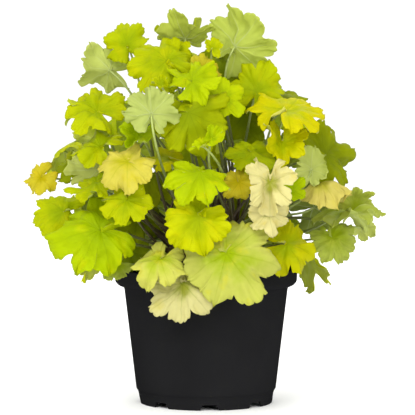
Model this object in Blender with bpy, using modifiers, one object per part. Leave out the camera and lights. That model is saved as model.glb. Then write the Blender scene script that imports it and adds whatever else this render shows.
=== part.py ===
"""Heuchera (coral bells) with lime and yellow leaves, growing in a round plastic nursery pot.

The pot stands on its notched foot ring with its axis on +Z, and the front of the plant faces -Y.
Every piece is an object of its own: the pot, the soil in it, the woody crown, and the leaves,
each with its leaf stalk. All lengths below are millimetres, and MM turns them into metres.

Leaves come from a table read off the plant's front and from rings on its far side. Each is placed
in turn: it is nudged, and the bend of its stalk is chosen, until it clears all that stands.
"""

import math
from collections import namedtuple

import bmesh
import bpy
import numpy as np
from mathutils.bvhtree import BVHTree

MM = 0.001
UP = np.array((0.0, 0.0, 1.0))
GOLDEN_TURN = math.radians(137.508)

# Pot: outer radii and heights from the rim down to the foot
RIM_RADIUS = 75.0
RIM_TOP = 111.0
BAND_BOTTOM = 100.0
NECK_RADIUS = 67.0
NECK_HEIGHT = 95.0
FOOT_SHOULDER_RADIUS = 57.3
FOOT_SHOULDER_HEIGHT = 12.0
FOOT_RADIUS = 54.4
WALL = 1.3
FOOT_WALL = 2.2
FLOOR_UNDERSIDE = 5.2
FLOOR_TOP = 6.8
POT_SIDES = 36
NOTCHES = 8
NOTCH_WIDTH = 10.0
NOTCH_HEIGHT = 4.6
NOTCH_TURN = 3.0
DRAIN_RADIUS = 3.6
DRAIN_CIRCLE = 44.0

# Soil
FIT_GAP = 0.3
SOIL_TOP = 100.0
SOIL_HEAP = 3.0
SOIL_ROUGHNESS = 1.1
SOIL_SIDES = 24
POCKET_RADIUS = 17.0
POCKET_DEPTH = 12.0

# Woody crown: a stump in the soil's pocket and stems that stand up from it
STUMP_RADIUS = 15.5
STUMP_HEIGHT = 20.0
STEM_HEIGHTS = (158.0, 146.0, 150.0, 142.0, 152.0, 145.0, 149.0)
STEM_LEAN = 25.0
STEM_ROOT_CIRCLE = 8.0
STEM_RADIUS = (5.2, 3.4)
SLOTS_A_STEM = 24
LOWEST_SLOT = 0.24
HIGHEST_SLOT = 0.97
FACING_INWARD = -0.35
SLOTS_TRIED = 16

# Leaves
BLADE = 0.7
STALK_RADIUS = (1.6, 1.1)
STALK_POINTS = 5
CAP_SHARE = 0.85
TWIN_STEP = 1.2
INNER_RING = 0.56
SINUS_REACH = 0.12
SINUS_ANGLE = 22.0
SLIT_DEPTH = (0.0, 0.16)
SLIT_ANGLE = 5.5
TOOTH = 0.05
TEETH_A_LOBE = 3
LOBE_CURL = (-0.30, 0.14)
SWELL = 0.03
MIDRIB_SPREAD = 0.14

# Room that is kept round a blade and round a stalk
BLADE_ROOM = 0.8
STALK_ROOM = 0.4

# The line of sight along which the leaves were placed, from 2.5 m in front and a little above
EYE = np.array((1.2, -2492.6, 351.8))

LOBES = {
    7: ((0, 1.0, 0.36), (48, 0.96, 0.345), (97, 0.90, 0.33), (143, 0.78, 0.29)),
    5: ((0, 1.0, 0.45), (64, 0.94, 0.42), (128, 0.80, 0.36)),
}

# How a leaf is bent. cup lifts the rim, droop bends it along its length, roll across it, fold
# closes it along the midrib, pleat raises the blade between its veins and ruffle waves its edge.
Habit = namedtuple("Habit", "cup droop back roll fold pleat ruffle lobes")
HABITS = {
    "flat": Habit(0.02, 0.25, 0.1, 0.15, 0, 0.05, 0.07, 7),
    "domed": Habit(-0.12, 0.5, 0.35, 0.4, 0, 0.07, 0.10, 7),
    "hanging": Habit(-0.10, 1.0, 0.5, 0.4, 0, 0.06, 0.08, 7),
    "cupped": Habit(0.30, 0.0, -0.1, -0.3, 0, 0.06, 0.10, 7),
    "wavy": Habit(-0.03, 0.4, 0.2, 0.2, 0, 0.08, 0.15, 7),
    "draped": Habit(-0.05, 0.5, 0.2, 0.3, 32, 0.06, 0.09, 7),
    "folded": Habit(-0.03, 0.5, 0.1, 0.0, 50, 0.05, 0.08, 7),
    "closed": Habit(-0.03, 0.45, 0.1, 0.0, 62, 0.04, 0.07, 7),
    "tent": Habit(-0.04, 0.5, 0.3, 0.0, -45, 0.05, 0.08, 7),
    "broad": Habit(-0.12, 0.55, 0.3, 0.35, 0, 0.06, 0.09, 5),
    "young": Habit(0.22, -0.2, 0.0, -0.2, 20, 0.08, 0.12, 5),
    "small": Habit(0.05, 0.4, 0.2, 0.2, 0, 0.07, 0.10, 5),
}

TINTS = {
    "lime": (0.50, 0.62, 0.03),
    "bright": (0.57, 0.70, 0.05),
    "yellow": (0.75, 0.68, 0.10),
    "cream": (0.78, 0.68, 0.32),
    "peach": (0.78, 0.58, 0.30),
    "olive": (0.20, 0.26, 0.01),
    "mid": (0.33, 0.44, 0.02),
    "grey": (0.40, 0.50, 0.18),
    "orange": (0.60, 0.47, 0.03),
}

# Each leaf as it is seen from the front: where stalk and blade meet (across and up in the plane
# through the pot's axis), how far it lies behind the mound's front, which way its upper side
# faces (turn from the viewer to the right, and lift above the horizon), where its middle lobe
# points (clock, degrees from straight up), and its length from the stalk to that lobe's tip.
# Rows that share a name are leaves of one shoot.
Row = namedtuple("Row", "name across up behind turn lift clock reach habit tint")
ROWS = (
    Row("front_1", 17, 123, 2, -2, 29, 144, 45, "domed", "lime"),
    Row("front_2", -19, 97, 4, -14, 34, 192, 34, "domed", "cream"),
    Row("front_4", -5, 188, 2, 7, 60, 232, 30, "domed", "bright"),
    Row("right_1", 66, 129, 10, 7, 30, 98, 28, "domed", "lime"),
    Row("front_3", -6, 153, 8, 13, 18, 226, 33, "domed", "lime"),
    Row("front_5", -38, 118, 12, -11, 48, 221, 34, "domed", "cream"),
    Row("right_7", 51, 156, 8, 11, 33, 168, 19, "wavy", "cream"),
    Row("right_6", 52, 181, 6, 9, 23, 178, 27, "folded", "cream"),
    Row("left_2", -65, 166, 4, -20, 41, 196, 24, "wavy", "lime"),
    Row("left_1", -87, 141, 10, 3, 38, 264, 43, "domed", "bright"),
    Row("left_3", -64, 197, 2, -14, 34, 229, 28, "domed", "yellow"),
    Row("front_8", -45, 237, 0, 172, -11, 359, 24, "wavy", "grey"),
    Row("front_7", -14, 237, 8, 4, 24, 152, 36, "domed", "mid"),
    Row("front_6", -31, 199, 14, 14, 61, 273, 20, "small", "yellow"),
    Row("front_11", 5, 217, 0, 20, 40, 40, 12, "young", "bright"),
    Row("front_11", -2, 210, 0, -25, 50, 250, 10, "young", "bright"),
    Row("front_9", 37, 205, 4, 6, 46, 174, 23, "wavy", "mid"),
    Row("right_10", 67, 174, 20, 20, 29, 16, 16, "cupped", "bright"),
    Row("right_4", 62, 214, 20, 18, 39, 178, 25, "folded", "yellow"),
    Row("right_2", 66, 241, 12, 5, 52, 37, 38, "domed", "yellow"),
    Row("right_5", 86, 191, 10, 175, 6, 2, 20, "tent", "grey"),
    Row("right_3", 98, 203, 24, 38, 19, 103, 34, "wavy", "olive"),
    Row("right_8", 94, 179, 22, 25, 89, 96, 28, "tent", "peach"),
    Row("right_9", 104, 136, 30, 19, 36, 140, 26, "hanging", "grey"),
    Row("front_10", 27, 181, 22, -2, 14, 165, 25, "hanging", "peach"),
    Row("front_12", -11, 204, 20, -5, 39, 209, 28, "wavy", "mid"),
    Row("top_1", 25, 292, 52, 151, 2, 39, 34, "draped", "lime"),
    Row("top_2", -79, 272, 56, 196, 8, 283, 27, "folded", "grey"),
    Row("top_3", -32, 279, 22, 6, 36, 313, 36, "domed", "lime"),
    Row("top_6", 14, 249, 16, 11, 26, 64, 21, "small", "bright"),
    Row("top_5", 41, 255, 30, 5, 20, 22, 31, "domed", "lime"),
    Row("top_9", -12, 264, 14, -2, 35, 58, 27, "wavy", "yellow"),
    Row("top_8", -2, 272, 34, 29, 31, 91, 19, "small", "orange"),
    Row("top_4", -17, 297, 56, 180, 61, 326, 29, "cupped", "mid"),
    Row("top_7", -64, 293, 44, -17, 20, 339, 21, "wavy", "lime"),
    Row("left_4", -89, 240, 28, -6, 47, 301, 31, "wavy", "lime"),
    Row("left_6", -87, 211, 18, -22, 49, 295, 30, "wavy", "lime"),
    Row("left_7", -89, 191, 24, 168, 15, 267, 30, "closed", "grey"),
    Row("left_9", -90, 181, 20, -26, 63, 259, 31, "wavy", "lime"),
    Row("left_8", -109, 194, 40, -27, 33, 265, 17, "small", "olive"),
    Row("left_10", -117, 157, 26, 2, 41, 265, 28, "domed", "yellow"),
    Row("left_5", -135, 185, 34, -18, 29, 228, 17, "domed", "orange"),
    Row("left_11", -55, 220, 14, -10, 38, 210, 20, "young", "bright"),
    Row("right_12", 110, 157, 44, 22, 96, 85, 35, "wavy", "mid"),
    Row("right_11", 122, 157, 60, 23, 35, 81, 24, "closed", "grey"),
    Row("right_13", 128, 144, 58, 159, 14, 116, 14, "small", "grey"),
    Row("top_10", 5, 289, 26, 10, 40, 20, 11, "young", "lime"),
    Row("top_10", -22, 287, 34, 0, 30, 330, 13, "small", "orange"),
    Row("top_10", -37, 260, 10, -10, 40, 300, 10, "young", "bright"),
    Row("left_12", -72, 112, 22, -20, 30, 230, 14, "small", "grey"),
    Row("left_12", -92, 226, 50, -15, 40, 290, 20, "small", "olive"),
    Row("shade_1", -56, 150, 44, -14, 30, 190, 24, "small", "olive"),
    Row("shade_1", -62, 124, 44, -24, 30, 215, 24, "small", "olive"),
    Row("shade_1", 28, 159, 58, 8, 34, 165, 24, "small", "olive"),
    Row("shade_2", 30, 234, 60, 8, 34, 150, 27, "small", "olive"),
    Row("shade_2", -44, 184, 50, -10, 36, 200, 30, "small", "olive"),
    Row("shade_3", 12, 272, 50, 10, 34, 80, 26, "small", "olive"),
    Row("shade_3", 60, 250, 50, 10, 74, 50, 25, "small", "olive"),
    Row("shade_3", 88, 160, 44, 180, 20, 60, 28, "small", "olive"),
)

# The mound of leaves, as an egg round the pot's axis
MOUND_HALF_WIDTH = 158.0
MOUND_HALF_DEPTH = 108.0
MOUND_MIDDLE = 150.0
MOUND_HALF_HEIGHT = 186.0

# Rings of leaves on the far side: height, count, distance from the axis, lift, length, habit, tint
BACK_SEED = 7
FAR_SEEDS = 500
BACK_FROM = 8.0
BACK_TO = 172.0
LEAVES_A_SHOOT = 3
BACK_RINGS = (
    (126, 5, 91, 36, 42, "broad", "lime"),
    (164, 5, 90, 40, 41, "broad", "mid"),
    (204, 5, 92, 42, 38, "broad", "lime"),
    (242, 4, 72, 48, 36, "broad", "bright"),
    (276, 2, 40, 56, 33, "broad", "lime"),
)

Leaf = namedtuple("Leaf", "name point normal tip reach habit tint seed slide group twin")


def unit(vector):
    return vector / np.linalg.norm(vector)


def on_sight_line(across, up, depth):
    """The point at this depth that is seen at (across, up) of the upright plane through the axis."""
    seen = np.array((across, 0.0, up))
    return EYE + (seen - EYE) * (depth - EYE[1]) / -EYE[1]


def facing(turn, lift):
    turn, lift = math.radians(turn), math.radians(lift)
    level = math.cos(lift)
    return np.array((math.sin(turn) * level, -math.cos(turn) * level, math.sin(lift)))


def tip_direction(normal, clock):
    """Along the blade, so that it is seen to point at clock."""
    clock = math.radians(clock)
    seen = np.array((math.sin(clock), 0.0, math.cos(clock)))
    sight = np.array((0.0, -1.0, 0.0))
    open_share = sight @ normal
    if abs(open_share) < 0.4:
        open_share = math.copysign(0.4, open_share)
    along = seen - sight * (seen @ normal) / open_share
    return unit(along - normal * (along @ normal))


def mound_front(across, up):
    left = 1 - (across / MOUND_HALF_WIDTH) ** 2 - ((up - MOUND_MIDDLE) / MOUND_HALF_HEIGHT) ** 2
    return -MOUND_HALF_DEPTH * math.sqrt(max(left, 0.0))


def leaves_seen():
    made = []
    shared = {row.name for row in ROWS if sum(other.name == row.name for other in ROWS) > 1}
    for number, row in enumerate(ROWS):
        normal = facing(row.turn, row.lift)
        point = on_sight_line(row.across, row.up, mound_front(row.across, row.up) + row.behind)
        tip = tip_direction(normal, row.clock)
        slide = unit(point - EYE)
        name = "leaf_" + row.name
        group = name if row.name in shared else None
        twin = sum(other.name == row.name for other in ROWS[:number])
        look = (row.reach, row.habit, row.tint, number)
        made.append(Leaf(name, point, normal, tip, *look, slide, group, twin))
    return made


def lobe_table(leaf):
    """Angles, reaches and end radii of the lobes, from the left of the stalk round to its right,
    and the depths of the slits between them."""
    draw = np.random.default_rng(1000 + leaf.seed)
    rows = LOBES[HABITS[leaf.habit].lobes]
    around = [(-a, reach, end) for a, reach, end in rows[:0:-1]] + list(rows)
    table = np.array(around, float)
    table[:, 0] += draw.uniform(-4, 4, len(table))
    table[:, 1] *= draw.uniform(0.92, 1.06, len(table))
    table[:, 2] *= draw.uniform(0.92, 1.08, len(table))
    return table, draw.uniform(*SLIT_DEPTH, len(table) - 1)


def edge_reach(angles, table, notches, slits):
    """The outline's distance from the stalk at each angle, as shares of the leaf's length."""
    centre = table[:, 1] - table[:, 2]
    off = np.radians(angles[:, None] - table[None, :, 0])
    inside = table[:, 2] ** 2 - (centre * np.sin(off)) ** 2
    reach = centre * np.cos(off) + np.sqrt(np.maximum(inside, 0.0))
    reach = np.where((inside > 0) & (np.cos(off) > 0), reach, 0.3).max(axis=1)
    for notch, slit in zip(notches[1:-1], slits):
        reach *= 1 - slit * np.exp(-(((angles - notch) / SLIT_ANGLE) ** 2))
    opened = np.clip((180 - np.abs(angles)) / SINUS_ANGLE, 0, 1)
    opened = opened * opened * (3 - 2 * opened)
    return reach * (SINUS_REACH + (1 - SINUS_REACH) * opened)


def blade_points(leaf, steps, shares):
    """Points of the blade's middle surface: steps are places round the rim, in lobes from the left
    of the stalk, and shares are how far out each lies between stalk and rim."""
    habit = HABITS[leaf.habit]
    draw = np.random.default_rng(2000 + leaf.seed)
    table, slits = lobe_table(leaf)
    angles_of_lobes = table[:, 0]
    between = (angles_of_lobes[1:] + angles_of_lobes[:-1]) / 2
    notches = np.concatenate(((-180.0,), between, (180.0,)))
    lobe = np.minimum(steps.astype(int), len(table) - 1)
    part = steps - lobe
    angles = notches[lobe] + (notches[lobe + 1] - notches[lobe]) * part
    edge = edge_reach(angles, table, notches, slits)
    edge *= 1 + TOOTH * (np.abs(np.cos(math.pi * TEETH_A_LOBE * (part - 0.5))) - 0.5)
    away = edge * shares
    x, y = away * np.sin(np.radians(angles)), away * np.cos(np.radians(angles))
    waves = draw.integers(3, 6)
    swing = draw.uniform(0, 2 * math.pi, 2)
    turn = 2 * math.pi * steps / len(table)
    wave = np.sin(waves * turn + swing[0]) + 0.6 * np.sin((waves + 3) * turn + swing[1])
    z = habit.cup * away**2
    z = z - habit.pleat * shares * np.cos(2 * math.pi * (part - 0.5)) / 2
    z = z + habit.ruffle * away * shares * wave
    curl = draw.uniform(*LOBE_CURL, len(table))[lobe]
    z = z + curl * away * shares**2 * np.cos(math.pi * (part - 0.5)) ** 2
    z = z + SWELL * swell(draw, x, y)
    return bend(habit, x, y, z) * leaf.reach


def swell(draw, x, y):
    """A soft unevenness of the whole blade."""
    height = 0
    for length in (1.3, 0.8, 0.5):
        turn, start = draw.uniform(0, 2 * math.pi, 2)
        along = (x * math.cos(turn) + y * math.sin(turn)) / length
        height = height + length * np.sin(2 * math.pi * along + start)
    return height


def bend(habit, x, y, z):
    fold = math.radians(habit.fold)
    lean = fold * np.tanh(x / MIDRIB_SPREAD)
    flat = x * math.cos(fold) + MIDRIB_SPREAD * (1 - math.cos(fold)) * np.tanh(x / MIDRIB_SPREAD)
    raised = MIDRIB_SPREAD * math.sin(fold) * np.log(np.cosh(x / MIDRIB_SPREAD))
    x, z = flat - z * np.sin(lean), raised + z * np.cos(lean)
    x, z = arc(x, z, habit.roll)
    curve = np.where(y > 0, habit.droop, habit.back)
    y, z = arc(y, z, curve)
    return np.stack((x, y, z), axis=-1)


def arc(along, above, curve):
    """Bends a line that lies along, with above over it, downwards by curve radians a unit."""
    curve = np.where(np.abs(curve) < 1e-6, 1e-6, curve)
    angle = along * curve
    return (
        np.sin(angle) / curve + above * np.sin(angle),
        (np.cos(angle) - 1) / curve + above * np.cos(angle),
    )


def in_place(leaf, points):
    side = np.cross(leaf.tip, leaf.normal)
    axes = np.stack((side, leaf.tip, leaf.normal))
    return points @ axes + leaf.point


def steps_a_lobe(leaf):
    if HABITS[leaf.habit].lobes == 5:
        return 3
    return 5 if leaf.reach > 40 else 4


def blade_net(leaf):
    """The blade as few triangles: the stalk's end, a ring with a point on each lobe's vein, and
    the rim."""
    lobes = HABITS[leaf.habit].lobes
    each = steps_a_lobe(leaf)
    rim = lobes * each
    steps = np.concatenate(((lobes / 2,), np.arange(lobes) + 0.5, np.arange(rim) / each))
    shares = np.concatenate(((0.0,), np.full(lobes, INNER_RING), np.ones(rim)))
    faces = []
    for i in range(lobes):
        vein, next_vein = 1 + i, 1 + (i + 1) % lobes
        edge = [1 + lobes + (i * each + k) % rim for k in range(each + 1)]
        if i == lobes - 1:
            faces += [(0, edge[-1], vein), (0, next_vein, edge[-1])]
        else:
            faces += [(0, next_vein, vein), (vein, next_vein, edge[-1])]
        faces += [(vein, edge[k + 1], edge[k]) for k in range(each)]
    return in_place(leaf, blade_points(leaf, steps, shares)), faces


def thickened(points, faces, half):
    """A closed shell half above and half below an open net of triangles."""
    points = np.asarray(points)
    index = np.array(faces)
    a, b, c = points[index[:, 0]], points[index[:, 1]], points[index[:, 2]]
    normals = np.zeros_like(points)
    for corner in range(3):
        np.add.at(normals, index[:, corner], np.cross(b - a, c - a))
    normals /= np.maximum(np.linalg.norm(normals, axis=1, keepdims=True), 1e-9)
    count = len(points)
    shell = [tuple(f) for f in faces] + [tuple(count + i for i in reversed(f)) for f in faces]
    edges = {(f[k], f[(k + 1) % 3]) for f in faces for k in range(3)}
    for a, b in edges:
        if (b, a) not in edges:
            shell += [(b, a, count + a), (b, count + a, count + b)]
    return np.concatenate((points + normals * half, points - normals * half)), shell


def tube_rings(lines, radii, sides):
    """Rings of points round each of several lines (line, place, xyz)."""
    ahead = np.gradient(lines, axis=1)
    ahead /= np.linalg.norm(ahead, axis=2, keepdims=True)
    across = np.cross(ahead, unit(np.array((0.31, 0.17, 0.93))))
    across /= np.linalg.norm(across, axis=2, keepdims=True)
    other = np.cross(ahead, across)
    around = np.arange(sides) * 2 * math.pi / sides
    spokes = across[:, :, None] * np.cos(around)[:, None] + other[:, :, None] * np.sin(around)[:, None]
    return (lines[:, :, None] + radii[:, None, None] * spokes).reshape(len(lines), -1, 3)


def tube_faces(places, sides):
    faces = []
    for ring in range(places - 1):
        for k in range(sides):
            a, b = ring * sides + k, ring * sides + (k + 1) % sides
            faces += [(a, b, b + sides), (a, b + sides, a + sides)]
    return faces


def tree_of(points, faces):
    return BVHTree.FromPolygons(points.tolist(), faces)


class Thicket:
    """Everything that stands already, each with the room it needs."""

    def __init__(self, wood):
        self.wood = wood
        self.trees = []
        self.groups = []
        self.lows = np.empty((0, 3))
        self.highs = np.empty((0, 3))

    def add(self, points, faces, group=None):
        self.trees.append(tree_of(points, faces))
        self.groups.append(group)
        self.lows = np.vstack((self.lows, points.min(axis=0)))
        self.highs = np.vstack((self.highs, points.max(axis=0)))

    def meets(self, points, faces, group=None):
        low, high = points.min(axis=0), points.max(axis=0)
        near = np.flatnonzero(((self.lows <= high) & (self.highs >= low)).all(axis=1))
        near = [i for i in near if group is None or self.groups[i] != group]
        if not near:
            return False
        tree = tree_of(points, faces)
        return any(tree.overlap(self.trees[i]) for i in near)


def stem_lines():
    """Foot and head of each of the crown's stems: one in the middle and the others round it."""
    lines = []
    for number, height in enumerate(STEM_HEIGHTS):
        turn = math.radians(60 * number - 78)
        out = np.array((math.cos(turn), math.sin(turn), 0.0)) * (number > 0)
        foot = out * STEM_ROOT_CIRCLE + UP * (SOIL_TOP - 2)
        spread = STEM_ROOT_CIRCLE + math.tan(math.radians(STEM_LEAN)) * (height - foot[2])
        head = out * spread + UP * height
        lines.append((foot, head))
    return lines


def slots(wood):
    """Places on the stems where a leaf stalk can start: (point on the bark, way out)."""
    found = []
    for number, (foot, head) in enumerate(stem_lines()):
        axis = unit(head - foot)
        side = unit(np.cross(axis, (0.2, 1.0, 0.1)))
        other = np.cross(axis, side)
        for slot in range(SLOTS_A_STEM):
            share = LOWEST_SLOT + (HIGHEST_SLOT - LOWEST_SLOT) * slot / (SLOTS_A_STEM - 1)
            turn = slot * GOLDEN_TURN + number
            out = side * math.cos(turn) + other * math.sin(turn)
            if number and out[:2] @ unit(foot[:2]) < FACING_INWARD:
                continue
            centre = foot + (head - foot) * share
            bark = wood.ray_cast(centre + out * STUMP_RADIUS, -out)[0]
            found.append((np.array(bark), out))
    return found


def stalk_lines(leaf, end, slot):
    """Points of the leaf stalk, from the slot on the crown to the blade's underside, once for
    each of the ways it can bend."""
    bark, out = slot
    span = np.linalg.norm(end - bark)
    climb = max((end[2] - bark[2]) / span, 0.0)
    heading = out + UP * (climb * 1.3 + BENDS[:, 1:2])
    heading /= np.linalg.norm(heading, axis=1, keepdims=True)
    tilt = np.sqrt(np.maximum(1 - (heading @ out) ** 2, 0.0))[:, None]
    start = bark + out * (FIT_GAP + STALK_RADIUS[0] * CAP_SHARE * tilt)
    start = start + unit(np.cross(out, UP)) * TWIN_STEP * leaf.twin
    arriving = unit(leaf.tip * 0.55 + leaf.normal * 0.75 + unit(end - bark) * 0.45)
    aside = np.cross(unit(end - bark), UP)
    first = start + (heading * BENDS[:, 0:1] + aside * BENDS[:, 2:3]) * span
    last = end - arriving * span * 0.28
    t = np.linspace(0, 1, STALK_POINTS)[:, None]
    start, first = start[:, None], first[:, None]
    return (1 - t) ** 3 * start + 3 * (1 - t) ** 2 * t * first + 3 * (1 - t) * t**2 * last + t**3 * end


def stalk_radii(room=0.0):
    return np.linspace(STALK_RADIUS[0] + room, STALK_RADIUS[1] + room, STALK_POINTS)


def shortened(lines, first, last):
    """The lines with these lengths taken off their first and last stretches."""
    short = lines.copy()
    ahead, back = lines[:, 1] - lines[:, 0], lines[:, -2] - lines[:, -1]
    short[:, 0] += ahead / np.linalg.norm(ahead, axis=1, keepdims=True) * first
    short[:, -1] += back / np.linalg.norm(back, axis=1, keepdims=True) * last
    return short


def nudged(leaf, nod, roll, size, shift):
    """The leaf tipped by nod degrees on its length, rolled, resized and slid along its line."""
    side = np.cross(leaf.tip, leaf.normal)
    nod, roll = math.radians(nod), math.radians(roll)
    tip = leaf.tip * math.cos(nod) + leaf.normal * math.sin(nod)
    normal = leaf.normal * math.cos(nod) - leaf.tip * math.sin(nod)
    normal = normal * math.cos(roll) + side * math.sin(roll)
    point = leaf.point + leaf.slide * shift
    return leaf._replace(point=point, normal=normal, tip=tip, reach=leaf.reach * size)


def effort(change):
    """How much a nudge changes a leaf. Sliding forward counts more, so that the leaves placed
    first stay in front."""
    nod, roll, size, slide = change
    return (abs(nod) + abs(roll)) * 0.7 + (1 - size) * 90 + max(slide, -3 * slide)


def tries():
    """Ways to nudge a leaf, from the least change to the most."""
    poses = [(0, 0, 1.0), (9, 0, 0.97), (-9, 0, 0.97), (0, 9, 0.97), (0, -9, 0.97), (18, 0, 0.92)]
    poses += [(-18, 0, 0.92), (0, 18, 0.9), (0, -18, 0.9), (12, 12, 0.84), (-12, -12, 0.84), (0, 0, 0.8)]
    slides = (*range(-12, 0, 3), *range(0, 90, 3))
    return sorted([(*pose, slide) for pose in poses for slide in slides], key=effort)


TRIES = tries()

# How far out the stalk leaves the crown, how steeply it rises there and how far it sways aside
BENDS = np.array([
    (handle, rise, sway)
    for sway in (0, 0.12, -0.12, 0.25, -0.25, 0.42, -0.42)
    for handle, rise in ((0.35, 0.1), (0.5, 0.5), (0.25, 0.9), (0.6, 1.2), (0.35, 2.0))
])
TEST_SIDES = 5
STALK_FACES = tube_faces(STALK_POINTS, TEST_SIDES)
ROOT_FACES = tube_faces(2, TEST_SIDES)


def place_leaves(leaves, thicket):
    """Nudges each leaf and picks its slot and stalk, so that nothing meets. A leaf of the far side
    that finds no room doesn't grow."""
    free = slots(thicket.wood)
    bound = {}
    grown = []
    for leaf in leaves:
        found = place_one(leaf, thicket, free, bound)
        if found is not None:
            grown.append(found)
        elif leaf.seed < FAR_SEEDS:
            raise RuntimeError("no room for " + leaf.name)
    return grown


def place_one(leaf, thicket, free, bound):
    for change in TRIES:
        moved = nudged(leaf, *change)
        net, faces = blade_net(moved)
        body, shell = thickened(net, faces, BLADE_ROOM)
        if thicket.meets(body, shell):
            continue
        stalk = find_stalk(moved, net[0], tree_of(body, shell), thicket, free, bound)
        if stalk is not None:
            thicket.add(body, shell)
            return moved, stalk
    return None


def find_stalk(leaf, end, own, thicket, free, bound):
    """The first stalk line that clears the crown, the leaf's own blade and everything placed."""
    way = end * (1, 1, 0)
    way = way / max(np.linalg.norm(way), 1.0)
    wanted = SOIL_TOP + 18 + (end[2] - SOIL_TOP) * 0.22
    if leaf.group in bound:
        choices = [bound[leaf.group]]
    else:
        choices = sorted(free, key=lambda s: abs(s[0][2] - wanted) * 0.02 - (s[1] + s[0] * 0.03) @ way)
    for slot in choices[:SLOTS_TRIED]:
        lines = stalk_lines(leaf, end, slot)
        roots = tube_rings(lines[:, :2], stalk_radii(0.1)[:2], TEST_SIDES)
        necks = tube_rings(shortened(lines, 1.0, 14.0), stalk_radii(0.1), TEST_SIDES)
        tubes = tube_rings(shortened(lines, 1.5, 3.0), stalk_radii(STALK_ROOM), TEST_SIDES)
        for line, root, neck, tube in zip(lines, roots, necks, tubes):
            if thicket.wood.overlap(tree_of(root, ROOT_FACES)) or own.overlap(tree_of(neck, STALK_FACES)):
                continue
            if thicket.meets(tube, STALK_FACES, leaf.group):
                continue
            thicket.add(tube, STALK_FACES, leaf.group or leaf.name)
            if leaf.group is not None:
                bound[leaf.group] = slot
            free[:] = [s for s in free if s is not slot]
            return line
    return None


def leaves_behind():
    """Leaves of the plant's far side, which the photograph's view hides: rings of them round the
    mound, each facing out and up, two or three to a shoot."""
    draw = np.random.default_rng(BACK_SEED)
    made = []
    for height, count, away, lift, reach, habit, tint in BACK_RINGS:
        for number in range(count):
            turn = BACK_FROM + (BACK_TO - BACK_FROM) * (number + 0.5) / count + draw.uniform(-5, 5)
            out = np.array((math.cos(math.radians(turn)), math.sin(math.radians(turn)), 0.0))
            tilt = math.radians(lift + draw.uniform(-8, 8))
            normal = out * math.cos(tilt) + UP * math.sin(tilt)
            tip = out * math.sin(tilt) - UP * math.cos(tilt)
            tip = tip + np.cross(UP, out) * draw.uniform(-0.5, 0.5)
            tip = unit(tip - normal * (tip @ normal))
            point = out * (away + draw.uniform(-6, 6)) + UP * (height + draw.uniform(-6, 6))
            shoot = "leaf_back_%d" % (len(made) // LEAVES_A_SHOOT + 1)
            look = (reach * draw.uniform(0.88, 1.08), habit, tint, FAR_SEEDS + len(made))
            twin = len(made) % LEAVES_A_SHOOT
            made.append(Leaf(shoot, point, normal, tip, *look, out, shoot, twin))
    return made


def clear_scene():
    for thing in list(bpy.data.objects):
        bpy.data.objects.remove(thing)


def collection(name, inside):
    made = bpy.data.collections.new(name)
    inside.children.link(made)
    return made


def material(name, colour, roughness):
    made = bpy.data.materials.get(name)
    if made is None:
        made = bpy.data.materials.new(name)
        made.use_nodes = True
        shader = made.node_tree.nodes["Principled BSDF"]
        shader.inputs["Base Color"].default_value = (*colour, 1)
        shader.inputs["Roughness"].default_value = roughness
    return made


def mesh_object(name, points, faces, home, finish=None):
    mesh = bpy.data.meshes.new(name)
    mesh.from_pydata([tuple(p) for p in np.asarray(points) * MM], [], faces)
    made = bpy.data.objects.new(name, mesh)
    home.objects.link(made)
    if finish is not None:
        mesh.materials.append(finish)
    return made


def turned(name, profile, sides, home, finish):
    """A solid of revolution from (radius, height) pairs that run down its outer side."""
    mesh = bpy.data.meshes.new(name)
    points = [(r * MM, 0, z * MM) for r, z in profile]
    mesh.from_pydata(points, [(i, (i + 1) % len(points)) for i in range(len(points))], [])
    made = bpy.data.objects.new(name, mesh)
    home.objects.link(made)
    mesh.materials.append(finish)
    screw = made.modifiers.new("Turn", "SCREW")
    screw.steps = screw.render_steps = sides
    screw.use_merge_vertices = True
    screw.merge_threshold = 0.0001
    screw.use_smooth_shade = True
    return made


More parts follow.
